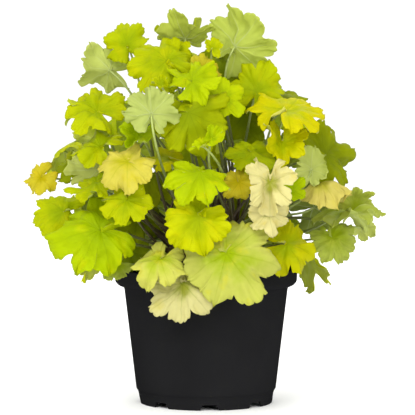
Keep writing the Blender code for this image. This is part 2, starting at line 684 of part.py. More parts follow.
def make_pot(home, cutters):
    """One wall turned from rim to foot, with a floor set above the foot ring, notches that part
    the ring into feet, and drain holes through the floor."""
    finish = material("black polypropylene", (0.006, 0.006, 0.007), 0.38)
    outside = [
        (RIM_RADIUS - 0.6, RIM_TOP),
        (RIM_RADIUS, RIM_TOP - 0.8),
        (RIM_RADIUS - 0.5, BAND_BOTTOM),
        (RIM_RADIUS - 2.6, BAND_BOTTOM - 2.6),
        (NECK_RADIUS, NECK_HEIGHT),
        (FOOT_SHOULDER_RADIUS, FOOT_SHOULDER_HEIGHT),
        (FOOT_RADIUS + 1.6, FOOT_SHOULDER_HEIGHT - 2.2),
        (FOOT_RADIUS + 0.7, 5.0),
        (FOOT_RADIUS, 0.0),
    ]
    under = [
        (FOOT_RADIUS - FOOT_WALL, 0.0),
        (FOOT_RADIUS - FOOT_WALL, FLOOR_UNDERSIDE),
        (0.0, FLOOR_UNDERSIDE),
        (0.0, FLOOR_TOP),
    ]
    inside = [
        (FOOT_SHOULDER_RADIUS - WALL - 1.6, FLOOR_TOP),
        (FOOT_SHOULDER_RADIUS - WALL, FOOT_SHOULDER_HEIGHT),
        (NECK_RADIUS - WALL, NECK_HEIGHT + 0.4),
        (RIM_RADIUS - WALL - 0.9, BAND_BOTTOM + 0.4),
        (RIM_RADIUS - WALL - 0.3, RIM_TOP),
    ]
    pot = turned("pot", outside + under + inside, POT_SIDES, home, finish)
    for number in range(NOTCHES):
        turn = math.radians(NOTCH_TURN + 360 * number / NOTCHES - 90)
        out = np.array((math.cos(turn), math.sin(turn), 0.0))
        at_foot = tuple(out * FOOT_RADIUS * MM)
        bpy.ops.mesh.primitive_cube_add(size=1, location=at_foot, rotation=(0, 0, turn))
        notch = bpy.context.object
        notch.name = "notch_%d" % (number + 1)
        notch.scale = (4 * FOOT_WALL * MM, NOTCH_WIDTH * MM, 2 * NOTCH_HEIGHT * MM)
        bpy.ops.mesh.primitive_cylinder_add(
            vertices=8, radius=DRAIN_RADIUS * MM, depth=4 * (FLOOR_TOP - FLOOR_UNDERSIDE) * MM,
            location=tuple((out * DRAIN_CIRCLE + UP * (FLOOR_UNDERSIDE + FLOOR_TOP) / 2) * MM),
        )
        drain = bpy.context.object
        drain.name = "drain_%d" % (number + 1)
        for cutter in (notch, drain):
            move_to(cutter, cutters)
    cut = pot.modifiers.new("Feet and drains", "BOOLEAN")
    cut.operation, cut.operand_type, cut.collection = "DIFFERENCE", "COLLECTION", cutters


def move_to(thing, home):
    for old in list(thing.users_collection):
        old.objects.unlink(thing)
    home.objects.link(thing)
    thing.hide_render = True
    thing.display_type = "WIRE"


def soil_height(x, y):
    away = math.hypot(x, y) / NECK_RADIUS
    rough = math.sin(0.31 * x + 1.7) * math.cos(0.27 * y) + 0.6 * math.sin(0.13 * x - 0.37 * y)
    return SOIL_TOP + SOIL_HEAP * (1 - away) + SOIL_ROUGHNESS * rough


def make_soil(home):
    """Potting soil from the floor to a finger's width below the rim, with a pocket for the crown."""
    finish = material("peat soil", (0.035, 0.022, 0.014), 0.95)
    edge = NECK_RADIUS + (RIM_RADIUS - NECK_RADIUS) * 0.62 - WALL - FIT_GAP
    floor_radius = FOOT_SHOULDER_RADIUS - WALL - 1.6 - FIT_GAP - 0.4
    profile = [
        (POCKET_RADIUS, None), (30.0, None), (46.0, None), (edge - 4.5, None),
        (NECK_RADIUS - WALL - FIT_GAP - 0.5, SOIL_TOP - 5.5),
        (FOOT_SHOULDER_RADIUS - WALL - FIT_GAP - 0.4, FOOT_SHOULDER_HEIGHT),
        (floor_radius, FLOOR_TOP + FIT_GAP),
    ]
    pocket_floor = SOIL_TOP - POCKET_DEPTH
    rings = [(POCKET_RADIUS - 0.5, pocket_floor)] + profile
    points = [(0, 0, pocket_floor)]
    for radius, height in rings:
        for k in range(SOIL_SIDES):
            turn = 2 * math.pi * k / SOIL_SIDES
            x, y = radius * math.cos(turn), radius * math.sin(turn)
            points.append((x, y, soil_height(x, y) if height is None else height))
    points.append((0, 0, FLOOR_TOP + FIT_GAP))
    last = len(points) - 1
    faces = []
    for k in range(SOIL_SIDES):
        follow = (k + 1) % SOIL_SIDES
        faces.append((0, 1 + k, 1 + follow))
        for ring in range(len(rings) - 1):
            a, b = 1 + ring * SOIL_SIDES + k, 1 + ring * SOIL_SIDES + follow
            faces += [(a, a + SOIL_SIDES, b + SOIL_SIDES), (a, b + SOIL_SIDES, b)]
        base = 1 + (len(rings) - 1) * SOIL_SIDES
        faces.append((base + k, last, base + follow))
    mesh_object("soil", points, faces, home, finish)


def tube_object(name, points, radii, home, finish, resolution=0):
    """A tube as a curve with filled caps, then as a mesh with its caps welded on."""
    curve = bpy.data.curves.new(name, "CURVE")
    curve.dimensions = "3D"
    curve.bevel_depth = MM
    curve.bevel_resolution = resolution
    curve.use_fill_caps = True
    line = curve.splines.new("POLY")
    line.points.add(len(points) - 1)
    for spot, point, radius in zip(line.points, points, radii):
        spot.co = (*(np.asarray(point) * MM), 1)
        spot.radius = radius
    guide = bpy.data.objects.new(name, curve)
    home.objects.link(guide)
    seen = guide.evaluated_get(bpy.context.evaluated_depsgraph_get())
    mesh = bpy.data.meshes.new_from_object(seen)
    net = bmesh.new()
    net.from_mesh(mesh)
    bmesh.ops.remove_doubles(net, verts=net.verts, dist=0.00002)
    bmesh.ops.triangulate(net, faces=net.faces)
    bmesh.ops.recalc_face_normals(net, faces=net.faces)
    net.to_mesh(mesh)
    net.free()
    mesh.materials.clear()
    mesh.materials.append(finish)
    bpy.data.objects.remove(guide)
    bpy.data.curves.remove(curve)
    made = bpy.data.objects.new(name, mesh)
    home.objects.link(made)
    return made


def fuse(name, pieces, home):
    """Joins pieces into one object by a union, which is applied. Every piece is a closed shell, so
    the quick solver for such shells serves."""
    base, rest = pieces[0], pieces[1:]
    joining = collection("joining", home)
    for piece in rest:
        home.objects.unlink(piece)
        joining.objects.link(piece)
    union = base.modifiers.new("Join", "BOOLEAN")
    union.operation, union.operand_type, union.collection = "UNION", "COLLECTION", joining
    union.solver = "MANIFOLD"
    seen = base.evaluated_get(bpy.context.evaluated_depsgraph_get())
    mesh = bpy.data.meshes.new_from_object(seen)
    for piece in rest:
        bpy.data.objects.remove(piece)
    bpy.data.collections.remove(joining)
    base.modifiers.clear()
    base.data = mesh
    base.name = name
    mesh.name = name
    return base


def make_crown(home):
    """The woody crown: a stump that sits in the soil's pocket, and the stems that rise from it."""
    finish = material("woody crown", (0.075, 0.040, 0.022), 0.85)
    foot = SOIL_TOP - POCKET_DEPTH + FIT_GAP
    heights = (0.0, 0.35, 0.72, 1.0)
    swell = (0.82, 1.0, 0.94, 0.6)
    line = [(0, 0, foot + STUMP_HEIGHT * h) for h in heights]
    pieces = [tube_object("crown", line, [STUMP_RADIUS * s for s in swell], home, finish, 2)]
    for number, (low, high) in enumerate(stem_lines()):
        points = [low + (high - low) * t for t in (0.0, 0.5, 0.92, 1.0)]
        radii = [STEM_RADIUS[0], sum(STEM_RADIUS) / 2, STEM_RADIUS[1], STEM_RADIUS[1] * 0.55]
        pieces.append(tube_object("stem_%d" % number, points, radii, home, finish, 1))
    return fuse("crown", pieces, home)


def make_leaf(name, group, home):
    """One leaf, or the leaves of one shoot: blades and stalks fused into one solid."""
    pieces = []
    for leaf, line in group:
        finish = material("leaf " + leaf.tint, TINTS[leaf.tint], 0.5)
        blade = mesh_object("blade", *blade_net(leaf), home, finish)
        skin = blade.modifiers.new("Thickness", "SOLIDIFY")
        skin.thickness = BLADE * MM
        skin.offset = 0
        stalk = tube_object("stalk", line, stalk_radii(), home, finish)
        pieces += [blade, stalk]
    for blade in pieces[2::2]:
        apply_modifiers(blade)
    return fuse(name, pieces, home)


def apply_modifiers(thing):
    seen = thing.evaluated_get(bpy.context.evaluated_depsgraph_get())
    thing.data = bpy.data.meshes.new_from_object(seen)
    thing.modifiers.clear()


def wood_tree(crown):
    """The crown's surface, in millimetres."""
    points = np.array([corner.co for corner in crown.data.vertices]) / MM
    return tree_of(points, [tuple(face.vertices) for face in crown.data.polygons])


def obstacles(wood):
    """Pot, soil and crown stems as simple shapes for the leaves to keep clear of."""
    thicket = Thicket(wood)
    profile = [
        (RIM_RADIUS - 2.8, SOIL_TOP + SOIL_HEAP),
        (RIM_RADIUS - 2.5, RIM_TOP + 1.0),
        (RIM_RADIUS - 0.6, RIM_TOP + 1.5),
        (RIM_RADIUS + 1.2, RIM_TOP),
        (RIM_RADIUS + 1.2, BAND_BOTTOM),
        (NECK_RADIUS + 1.2, NECK_HEIGHT - 1),
        (FOOT_SHOULDER_RADIUS + 1.2, FOOT_SHOULDER_HEIGHT),
    ]
    turns = np.arange(POT_SIDES) * 2 * math.pi / POT_SIDES
    points = [(r * math.cos(turn), r * math.sin(turn), height) for r, height in profile for turn in turns]
    faces = tube_faces(len(profile), POT_SIDES)
    middle = len(points)
    points.append((0, 0, SOIL_TOP + SOIL_HEAP + 1))
    faces += [(middle, k, (k + 1) % POT_SIDES) for k in range(POT_SIDES)]
    thicket.add(np.array(points, float), faces)
    for low, high in stem_lines():
        line = np.array([low + (high - low) * t for t in (0.15, 0.6, 1.0)])
        radii = np.linspace(*STEM_RADIUS, 3) + STALK_ROOM * 0.5
        thicket.add(tube_rings(line[None], radii, 8)[0], tube_faces(3, 8))
    return thicket


def main():
    clear_scene()
    home = collection("heuchera in a nursery pot", bpy.context.scene.collection)
    cutters = collection("cutters", bpy.context.scene.collection)
    make_pot(home, cutters)
    make_soil(home)
    crown = make_crown(home)
    placed = place_leaves(leaves_seen() + leaves_behind(), obstacles(wood_tree(crown)))
    for name in dict.fromkeys(leaf.name for leaf, line in placed):
        make_leaf(name, [(leaf, line) for leaf, line in placed if leaf.name == name], home)


if __name__ == "__main__":
    main()
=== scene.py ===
"""Heuchera with lime and yellow leaves in a black nursery pot: the finish of every surface.

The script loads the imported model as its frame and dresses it: a smooth moulded pot, crumbly peat,
a woody crown with dry sheaths, and finely cut leaves on hairy stalks, each in the place of its
plain solid. It repeats the rule that placed the leaves, so that every fine blade lies on its own
solid. Sizes and places are in millimetres, and MM turns them into metres.
"""

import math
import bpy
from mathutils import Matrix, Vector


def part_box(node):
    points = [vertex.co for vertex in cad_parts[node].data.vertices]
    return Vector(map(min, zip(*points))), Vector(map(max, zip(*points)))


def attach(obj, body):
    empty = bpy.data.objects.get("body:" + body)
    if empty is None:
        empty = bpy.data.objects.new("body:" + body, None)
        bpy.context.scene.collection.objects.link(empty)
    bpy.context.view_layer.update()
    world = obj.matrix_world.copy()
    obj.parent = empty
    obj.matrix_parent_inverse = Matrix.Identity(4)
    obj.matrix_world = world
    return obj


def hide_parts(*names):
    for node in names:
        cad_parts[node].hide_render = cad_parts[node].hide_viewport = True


bl_info = {
    "name": "Potted Heuchera",
    "version": (1, 0, 0),
    "blender": (4, 5, 0),
    "location": "View3D > Sidebar > Heuchera",
    "description": "Builds a heuchera in a nursery pot around its packed solids",
    "category": "Add Mesh",
}

from collections import namedtuple

import bmesh
import bpy
import numpy as np
from bpy.props import FloatProperty, FloatVectorProperty, IntProperty, PointerProperty
from bpy.types import Operator, Panel, PropertyGroup
from mathutils import Matrix, Vector, noise
from mathutils.bvhtree import BVHTree

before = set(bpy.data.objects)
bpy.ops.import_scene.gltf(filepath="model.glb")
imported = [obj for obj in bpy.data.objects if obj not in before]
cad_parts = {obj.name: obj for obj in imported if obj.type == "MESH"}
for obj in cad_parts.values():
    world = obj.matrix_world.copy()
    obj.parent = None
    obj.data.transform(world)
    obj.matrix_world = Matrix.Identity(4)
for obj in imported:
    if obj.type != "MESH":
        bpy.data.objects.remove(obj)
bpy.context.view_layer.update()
BODY = "root"

MM = 0.001
UP = np.array((0.0, 0.0, 1.0))
GOLDEN_TURN = math.radians(137.508)

# Pot, as its solid is built
RIM_RADIUS = 75.0
RIM_TOP = 111.0
BAND_BOTTOM = 100.0
NECK_RADIUS = 67.0
NECK_HEIGHT = 95.0
FOOT_SHOULDER_RADIUS = 57.3
FOOT_SHOULDER_HEIGHT = 12.0
FOOT_RADIUS = 54.4
WALL = 1.3
FOOT_WALL = 2.2
FLOOR_UNDERSIDE = 5.2
FLOOR_TOP = 6.8
POT_SIDES = 36
NOTCHES = 8
NOTCH_WIDTH = 10.0
NOTCH_HEIGHT = 4.6
NOTCH_TURN = 3.0
DRAIN_RADIUS = 3.6
DRAIN_CIRCLE = 44.0

# What the fine pot adds: how much wider a foot notch is to either side, at the floor and at its
# top, and how near two points of the turned wall have to be to become one
NOTCH_SPLAY = (4.6, 0.6)
MERGE = 0.05
DRAIN_SIDES = 28

# Soil and crown, as their solids are built
FIT_GAP = 0.3
SOIL_TOP = 100.0
SOIL_HEAP = 3.0
SOIL_ROUGHNESS = 1.1
SOIL_EDGE_SHARE = 0.62
POCKET_RADIUS = 17.0
POCKET_DEPTH = 12.0
STUMP_RADIUS = 15.5
STUMP_HEIGHT = 20.0
STEM_HEIGHTS = (158.0, 146.0, 150.0, 142.0, 152.0, 145.0, 149.0)
STEM_LEAN = 25.0
STEM_ROOT_CIRCLE = 8.0
STEM_STEP = 60
STEM_TURN = -78
STEM_RADIUS = (5.2, 3.4)
SLOTS_A_STEM = 24
LOWEST_SLOT = 0.24
HIGHEST_SLOT = 0.97
FACING_INWARD = -0.35
SLOTS_TRIED = 16
# A stalk should start this high above the soil, and higher by this share of its leaf's height
SLOT_HEIGHT = 18
SLOT_RISE = 0.22

# Rings of points on the fine soil between its pocket and its edge
SOIL_RINGS = 34
# Loose grains on it: the range of their radius and how tall they are for it, for crumbs of peat,
# perlite and chips of bark. One grain in PERLITE_EVERY is perlite, and one in BARK_EVERY of the
# others is bark.
SOIL_SEED = 11
Grain = namedtuple("Grain", "sizes height")
GRAINS = (Grain((0.7, 2.0), 0.8), Grain((0.8, 1.5), 0.9), Grain((1.4, 3.0), 0.35))
GRAIN_LIFT = 0.25
PERLITE_EVERY = 16
BARK_EVERY = 3

# Fine crown: places along a stem or the stump, points round it and how rough its bark is, the
# radius of a stem's very top, and the dry scales that clasp the stems
CROWN_SEED = 5
STUMP_SKIN = (26, 40, 0.5)
STEM_SKIN = (40, 22, 0.22)
STEM_TOP_RADIUS = 1.6
SCALES_A_STEM = 15
SCALE_LENGTH = (5.0, 9.0)
SCALE_LEAN = (0.12, 0.35)
SCALE_HALF_THICKNESS = 0.14
SCALE_ROWS = 6
SCALE_COLUMNS = 5

# Leaves, as their solids are built
STALK_RADIUS = (1.6, 1.1)
STALK_POINTS = 5
CAP_SHARE = 0.85
TWIN_STEP = 1.2
INNER_RING = 0.56
SINUS_REACH = 0.12
SINUS_ANGLE = 22.0
SLIT_DEPTH = (0.0, 0.16)
SLIT_ANGLE = 5.5
TOOTH = 0.05
TEETH_A_LOBE = 3
LOBE_CURL = (-0.30, 0.14)
SWELL = 0.03
MIDRIB_SPREAD = 0.14
BLADE_ROOM = 0.8
STALK_ROOM = 0.4
# Stalks are tested against the crown and their own blade with less room, and with their ends cut
# back: by these lengths at the crown and at the blade, against their own blade and all others
TIGHT_ROOM = 0.1
CUT_FOR_OWN = (1.0, 14.0)
CUT_FOR_OTHERS = (1.5, 3.0)
# A stalk leaves the crown more steeply the more it has to climb. It arrives along a mix of its
# blade's tip, its blade's upper side and its own way there, over this share of its span.
RISE_WITH_CLIMB = 1.3
ARRIVAL = (0.55, 0.75, 0.45)
ARRIVAL_REACH = 0.28
# A leaf that is seen more edge-on than this is pointed as if it were this open
LEAST_OPEN = 0.4
# The line of sight along which the leaves were placed, from 2.5 m in front and a little above
EYE = np.array((1.2, -2492.6, 351.8))
# For blades of seven and of five lobes: each lobe's angle from the midrib, reach and end radius
LOBES = {
    7: ((0, 1.0, 0.36), (48, 0.96, 0.345), (97, 0.90, 0.33), (143, 0.78, 0.29)),
    5: ((0, 1.0, 0.45), (64, 0.94, 0.42), (128, 0.80, 0.36)),
}
# How a leaf is bent. cup lifts the rim, droop bends it down toward its tip and back toward its
# stalk, roll bends it across, fold closes it along the midrib by so many degrees, pleat raises it
# between its veins and ruffle waves its edge. lobes is how many it has.
Habit = namedtuple("Habit", "cup droop back roll fold pleat ruffle lobes")
HABITS = {
    "domed": Habit(-0.12, 0.5, 0.35, 0.4, 0, 0.07, 0.10, 7),
    "hanging": Habit(-0.10, 1.0, 0.5, 0.4, 0, 0.06, 0.08, 7),
    "cupped": Habit(0.30, 0.0, -0.1, -0.3, 0, 0.06, 0.10, 7),
    "wavy": Habit(-0.03, 0.4, 0.2, 0.2, 0, 0.08, 0.15, 7),
    "draped": Habit(-0.05, 0.5, 0.2, 0.3, 32, 0.06, 0.09, 7),
    "folded": Habit(-0.03, 0.5, 0.1, 0.0, 50, 0.05, 0.08, 7),
    "closed": Habit(-0.03, 0.45, 0.1, 0.0, 62, 0.04, 0.07, 7),
    "tent": Habit(-0.04, 0.5, 0.3, 0.0, -45, 0.05, 0.08, 7),
    "broad": Habit(-0.12, 0.55, 0.3, 0.35, 0, 0.06, 0.09, 5),
    "young": Habit(0.22, -0.2, 0.0, -0.2, 20, 0.08, 0.12, 5),
    "small": Habit(0.05, 0.4, 0.2, 0.2, 0, 0.07, 0.10, 5),
}
# Each leaf as it is seen from the front: where stalk and blade meet (across and up in the plane
# through the pot's axis), how far it lies behind the mound's front, which way its upper side
# faces (turn from the viewer to the right, and lift above the horizon), where its middle lobe
# points (clock, degrees from straight up), and its length from the stalk to that lobe's tip.
# Rows that share a name are leaves of one shoot. The last word picks the colours from TINTS.
Row = namedtuple("Row", "name across up behind turn lift clock reach habit tint")
ROWS = (
    Row("front_1", 17, 123, 2, -2, 29, 144, 45, "domed", "edged"),
    Row("front_2", -19, 97, 4, -14, 34, 192, 34, "domed", "cream"),
    Row("front_4", -5, 188, 2, 7, 60, 232, 30, "domed", "bright"),
    Row("right_1", 66, 129, 10, 7, 30, 98, 28, "domed", "golden"),
    Row("front_3", -6, 153, 8, 13, 18, 226, 33, "domed", "lime"),
    Row("front_5", -38, 118, 12, -11, 48, 221, 34, "domed", "edged"),
    Row("right_7", 51, 156, 8, 11, 33, 168, 19, "wavy", "cream"),
    Row("right_6", 52, 181, 6, 9, 23, 178, 27, "folded", "cream"),
    Row("left_2", -65, 166, 4, -20, 41, 196, 24, "wavy", "lime"),
    Row("left_1", -87, 141, 10, 3, 38, 264, 43, "domed", "bright"),
    Row("left_3", -64, 197, 2, -14, 34, 229, 28, "domed", "yellow"),
    Row("front_8", -45, 237, 0, 172, -11, 359, 24, "wavy", "grey"),
    Row("front_7", -14, 237, 8, 4, 24, 152, 36, "domed", "mid"),
    Row("front_6", -31, 199, 14, 14, 61, 273, 20, "small", "golden"),
    Row("front_11", 5, 217, 0, 20, 40, 40, 12, "young", "bright"),
    Row("front_11", -2, 210, 0, -25, 50, 250, 10, "young", "bright"),
    Row("front_9", 37, 205, 4, 6, 46, 174, 23, "wavy", "mid"),
    Row("right_10", 67, 174, 20, 20, 29, 16, 16, "cupped", "bright"),
    Row("right_4", 62, 214, 20, 18, 39, 178, 25, "folded", "golden"),
    Row("right_2", 66, 241, 12, 5, 52, 37, 38, "domed", "golden"),
    Row("right_5", 86, 191, 10, 175, 6, 2, 20, "tent", "grey"),
    Row("right_3", 98, 203, 24, 38, 19, 103, 34, "wavy", "olive"),
    Row("right_8", 94, 179, 22, 25, 89, 96, 28, "tent", "peach"),
    Row("right_9", 104, 136, 30, 19, 36, 140, 26, "hanging", "grey"),
    Row("front_10", 27, 181, 22, -2, 14, 165, 25, "hanging", "orange"),
    Row("front_12", -11, 204, 20, -5, 39, 209, 28, "wavy", "mid"),
    Row("top_1", 25, 292, 52, 151, 2, 39, 34, "draped", "lime"),
    Row("top_2", -79, 272, 56, 196, 8, 283, 27, "folded", "grey"),
    Row("top_3", -32, 279, 22, 6, 36, 313, 36, "domed", "lime"),
    Row("top_6", 14, 249, 16, 11, 26, 64, 21, "small", "bright"),
    Row("top_5", 41, 255, 30, 5, 20, 22, 31, "domed", "lime"),
    Row("top_9", -12, 264, 14, -2, 35, 58, 27, "wavy", "bright"),
    Row("top_8", -2, 272, 34, 29, 31, 91, 19, "small", "orange"),
    Row("top_4", -17, 297, 56, 180, 61, 326, 29, "cupped", "mid"),
    Row("top_7", -64, 293, 44, -17, 20, 339, 21, "wavy", "lime"),
    Row("left_4", -89, 240, 28, -6, 47, 301, 31, "wavy", "lime"),
    Row("left_6", -87, 211, 18, -22, 49, 295, 30, "wavy", "lime"),
    Row("left_7", -89, 191, 24, 168, 15, 267, 30, "closed", "grey"),
    Row("left_9", -90, 181, 20, -26, 63, 259, 31, "wavy", "lime"),
    Row("left_8", -109, 194, 40, -27, 33, 265, 17, "small", "olive"),
    Row("left_10", -117, 157, 26, 2, 41, 265, 28, "domed", "lime"),
    Row("left_5", -135, 185, 34, -18, 29, 228, 17, "domed", "orange"),
    Row("left_11", -55, 220, 14, -10, 38, 210, 20, "young", "bright"),
    Row("right_12", 110, 157, 44, 22, 96, 85, 35, "wavy", "grey"),
    Row("right_11", 122, 157, 60, 23, 35, 81, 24, "closed", "grey"),
    Row("right_13", 128, 144, 58, 159, 14, 116, 14, "small", "grey"),
    Row("top_10", 5, 289, 26, 10, 40, 20, 11, "young", "lime"),
    Row("top_10", -22, 287, 34, 0, 30, 330, 13, "small", "orange"),
    Row("top_10", -37, 260, 10, -10, 40, 300, 10, "young", "bright"),
    Row("left_12", -72, 112, 22, -20, 30, 230, 14, "small", "grey"),
    Row("left_12", -92, 226, 50, -15, 40, 290, 20, "small", "olive"),
    # The shade rows, and the other rows with the olive tint, are coloured darker for the shade they stand in
    # among the leaves: painted shade.
    Row("shade_1", -56, 150, 44, -14, 30, 190, 24, "small", "olive"),
    Row("shade_1", -62, 124, 44, -24, 30, 215, 24, "small", "olive"),
    Row("shade_1", 28, 159, 58, 8, 34, 165, 24, "small", "olive"),
    Row("shade_2", 30, 234, 60, 8, 34, 150, 27, "small", "olive"),
    Row("shade_2", -44, 184, 50, -10, 36, 200, 30, "small", "olive"),
    Row("shade_3", 12, 272, 50, 10, 34, 80, 26, "small", "olive"),
    Row("shade_3", 60, 250, 50, 10, 74, 50, 25, "small", "olive"),
    Row("shade_3", 88, 160, 44, 180, 20, 60, 28, "small", "olive"),
)
# The mound of leaves, as an egg round the pot's axis
MOUND_HALF_WIDTH = 158.0
MOUND_HALF_DEPTH = 108.0
MOUND_MIDDLE = 150.0
MOUND_HALF_HEIGHT = 186.0
# The far side: where its rings of leaves start and end, in degrees round the axis, and for each
# ring its height, count, distance from the axis, lift, length, habit and tint
BACK_SEED = 7
BACK_FROM = 8.0
BACK_TO = 172.0
LEAVES_A_SHOOT = 3
BACK_RINGS = (
    (126, 5, 91, 36, 42, "broad", "lime"),
    (164, 5, 90, 40, 41, "broad", "mid"),
    (204, 5, 92, 42, 38, "broad", "lime"),
    (242, 4, 72, 48, 36, "broad", "bright"),
    (276, 2, 40, 56, 33, "broad", "lime"),
)
Leaf = namedtuple("Leaf", "name point normal tip reach habit tint seed slide group twin")
# A leaf's own seed is its number, from FAR_SEEDS on for the far side. These are added to it for
# its lobes, its waves and curls, its fine edge, and its tone and hairs.
FAR_SEEDS = 500
LOBE_SEEDS = 1000
WAVE_SEEDS = 2000
EDGE_SEEDS = 3000
TONE_SEEDS = 4000

# Fine blade. VEIN_SINK and QUILT are those of a leaf RELIEF_REACH long, and grow with the leaf.
# EDGE_THICKNESS is at the rim, and THICKER_INSIDE is added toward the stalk. VEIN_SINK presses the
# main veins into the upper side, VEIN_RIB raises them below, and QUILT lifts the blade between its
# side veins, which lean by SIDE_VEIN_SLANT.
RELIEF_REACH = 40
EDGE_THICKNESS = 0.24
THICKER_INSIDE = 0.12
VEIN_SINK = 0.18
VEIN_RIB = 0.55
QUILT = 0.28
SIDE_VEINS = 4
SIDE_VEIN_SLANT = 0.34
# How the edge departs from the plain outline, as shares of the leaf's length: narrow notches
# between the lobes, fuller lobes and small round teeth
NOTCH_CUT = (0.06, 0.24)
NOTCH_WIDTH_SHARE = 0.07
FULLER = 0.07
SMALL_TEETH = 5
SMALL_TOOTH = 0.05
# How the surface departs from the plain one: the share of each lobe's curl that its neighbours
# take, the share of the pleats that is flattened, a frilled edge with so many waves a lobe, and
# soft folds that are BILLOW high, FOLDS_A_MM of them in a millimetre
EVEN_CURL = 0.8
FLAT_PLEAT = 0.6
FRILL = 0.034
FRILL_RATES = (1, 2, 3, 5)
BILLOW = 2.3
FOLDS_A_MM = 0.055
# Leaves up to SMALL_REACH long have this share of the points of the others along each line
SMALL_REACH = 24
SMALL_DETAIL = 0.67
# How far a blade's box may lie from its solid's before the script stops
SAME_PLACE = 6.0
# Fine stalk: radii at shares of its length, places along it and points round it, how far its end
# stays under the blade, and its hairs' length, the half width of their foot and the share of the
# stalk's radius at which they start
STALK_TAPER = ((0, 0.04, 0.12, 0.9, 1), (2.1, 1.8, 1.25, 0.9, 0.75))
STALK_PLACES = 30
STALK_SIDES = 9
STALK_SUNK = 0.35
HAIR_LENGTH = (0.7, 1.7)
HAIR_FOOT = 0.07
HAIR_ROOT = 0.92

# Leaf colours. centre is round the stalk, vein along the veins of the upper side, under the whole
# lower side and glow the warmer clouds, and spread is how far out the edge colour starts: it is
# lower for a leaf with a broad edge of it. The edge colours are settings of HeucheraLeaves.
Tint = namedtuple("Tint", "title centre vein under glow spread")
TINTS = {
    "golden": Tint("golden lime leaf", "#a8b60c", "#9aa80e", "#ced06a", "#d0c81c", 1.3),
    "lime": Tint("lime leaf", "#a2b20c", "#97a610", "#c9d26a", "#cdc81c", 1.35),
    "bright": Tint("bright lime leaf", "#a0b60e", "#93a810", "#cad468", "#d2d01e", 1.3),
    "edged": Tint("yellow edged lime leaf", "#a4b924", "#93a41c", "#c9d26a", "#d4cc34", 1.25),
    "yellow": Tint("yellow leaf", "#c6be34", "#aab02c", "#ced078", "#dccb34", 1.05),
    "cream": Tint("cream leaf", "#a9ab42", "#8f9c34", "#d3cc8c", "#dccb62", 0.95),
    "peach": Tint("peach leaf", "#b4b244", "#a09a36", "#bcb866", "#ccc258", 1.0),
    # The olive tint is a darker copy of the lime one for leaves deep in the mound and behind others: its
    # darkness is painted shade, on top of the shade that the lights give them.
    "olive": Tint("olive shade leaf", "#7a880c", "#6b790c", "#9aa550", "#a0a018", 1.35),
    "mid": Tint("mid green leaf", "#8a9c0a", "#7b8b0c", "#b8c25a", "#b4b416", 1.35),
    "grey": Tint("grey green leaf underside", "#94a224", "#8a9730", "#ccd47a", "#c4c650", 1.3),
    "orange": Tint("orange yellow leaf", "#b8aa24", "#9c9726", "#bfb45c", "#d6bd34", 1.1),
}
# The veins of every lower side, and how its side veins stand out there and are pressed in above
UNDER_VEIN = "#dfe6b8"
VEINS_RAISED = 0.6
VEINS_PRESSED = -0.4
# Brightness and hue of the darkest and lightest leaf of a tint
TONE_VALUES = (0.88, 1.04)
TONE_HUES = (0.508, 0.494)

# Stage, in metres: half the floor's width, and the points that the lights and the camera face.
# The camera's sensor is in millimetres.
FLOOR_HALF = 30.0
# Each light's place, its width and the setting that holds its power
LIGHTS = (
    ("key_light", (-0.8, -1.8, 1.8), 1.6, "key"),
    ("fill_light", (0.8, -2.1, 0.8), 1.4, "fill"),
    ("back_light", (0.4, 1.5, 1.6), 1.2, "rim"),
)
LIT_POINT = (0.0, 0.0, 0.17)
SEEN_POINT = (0.0012, 0.0, 0.160)
SENSOR_WIDTH = 36.0


def linear(value):
    """The linear colour of an sRGB hex value."""
    parts = [int(value[i:i + 2], 16) / 255 for i in (1, 3, 5)]
    return tuple(p / 12.92 if p <= 0.04045 else ((p + 0.055) / 1.055) ** 2.4 for p in parts)


def colour_property(name, value, what):
    """A colour setting whose default is an sRGB hex value."""
    return FloatVectorProperty(
        name=name, description=what, subtype="COLOR", size=3, min=0, max=1, default=linear(value)
    )


class HeucheraPot(PropertyGroup):
    sides: IntProperty(name="Sides", description="Facets round the pot", default=192, min=24)
    colour: colour_property("Plastic", "#161617", "Colour of the pot's plastic")
    roughness: FloatProperty(name="Roughness", description="Roughness of the plastic", default=0.55)
    grain: FloatProperty(
        name="Grain", description="Size of the mould's fine grain", default=0.0009, unit="LENGTH"
    )


class HeucheraSoil(PropertyGroup):
    sides: IntProperty(name="Sides", description="Facets round the soil", default=120, min=24)
    crumbs: IntProperty(name="Crumbs", description="Loose crumbs on the soil", default=420, min=0)
    colour: colour_property("Peat", "#3a2a1e", "Colour of the peat")
    dry: colour_property("Dry peat", "#6b5138", "Colour of the dry fibres and bark")
    perlite: colour_property("Perlite", "#d8d4ca", "Colour of the perlite grains")


class HeucheraCrown(PropertyGroup):
    bark: colour_property("Bark", "#5a3d28", "Colour of the crown's bark")
    sheath: colour_property("Sheath", "#8a6440", "Colour of the dry sheaths")


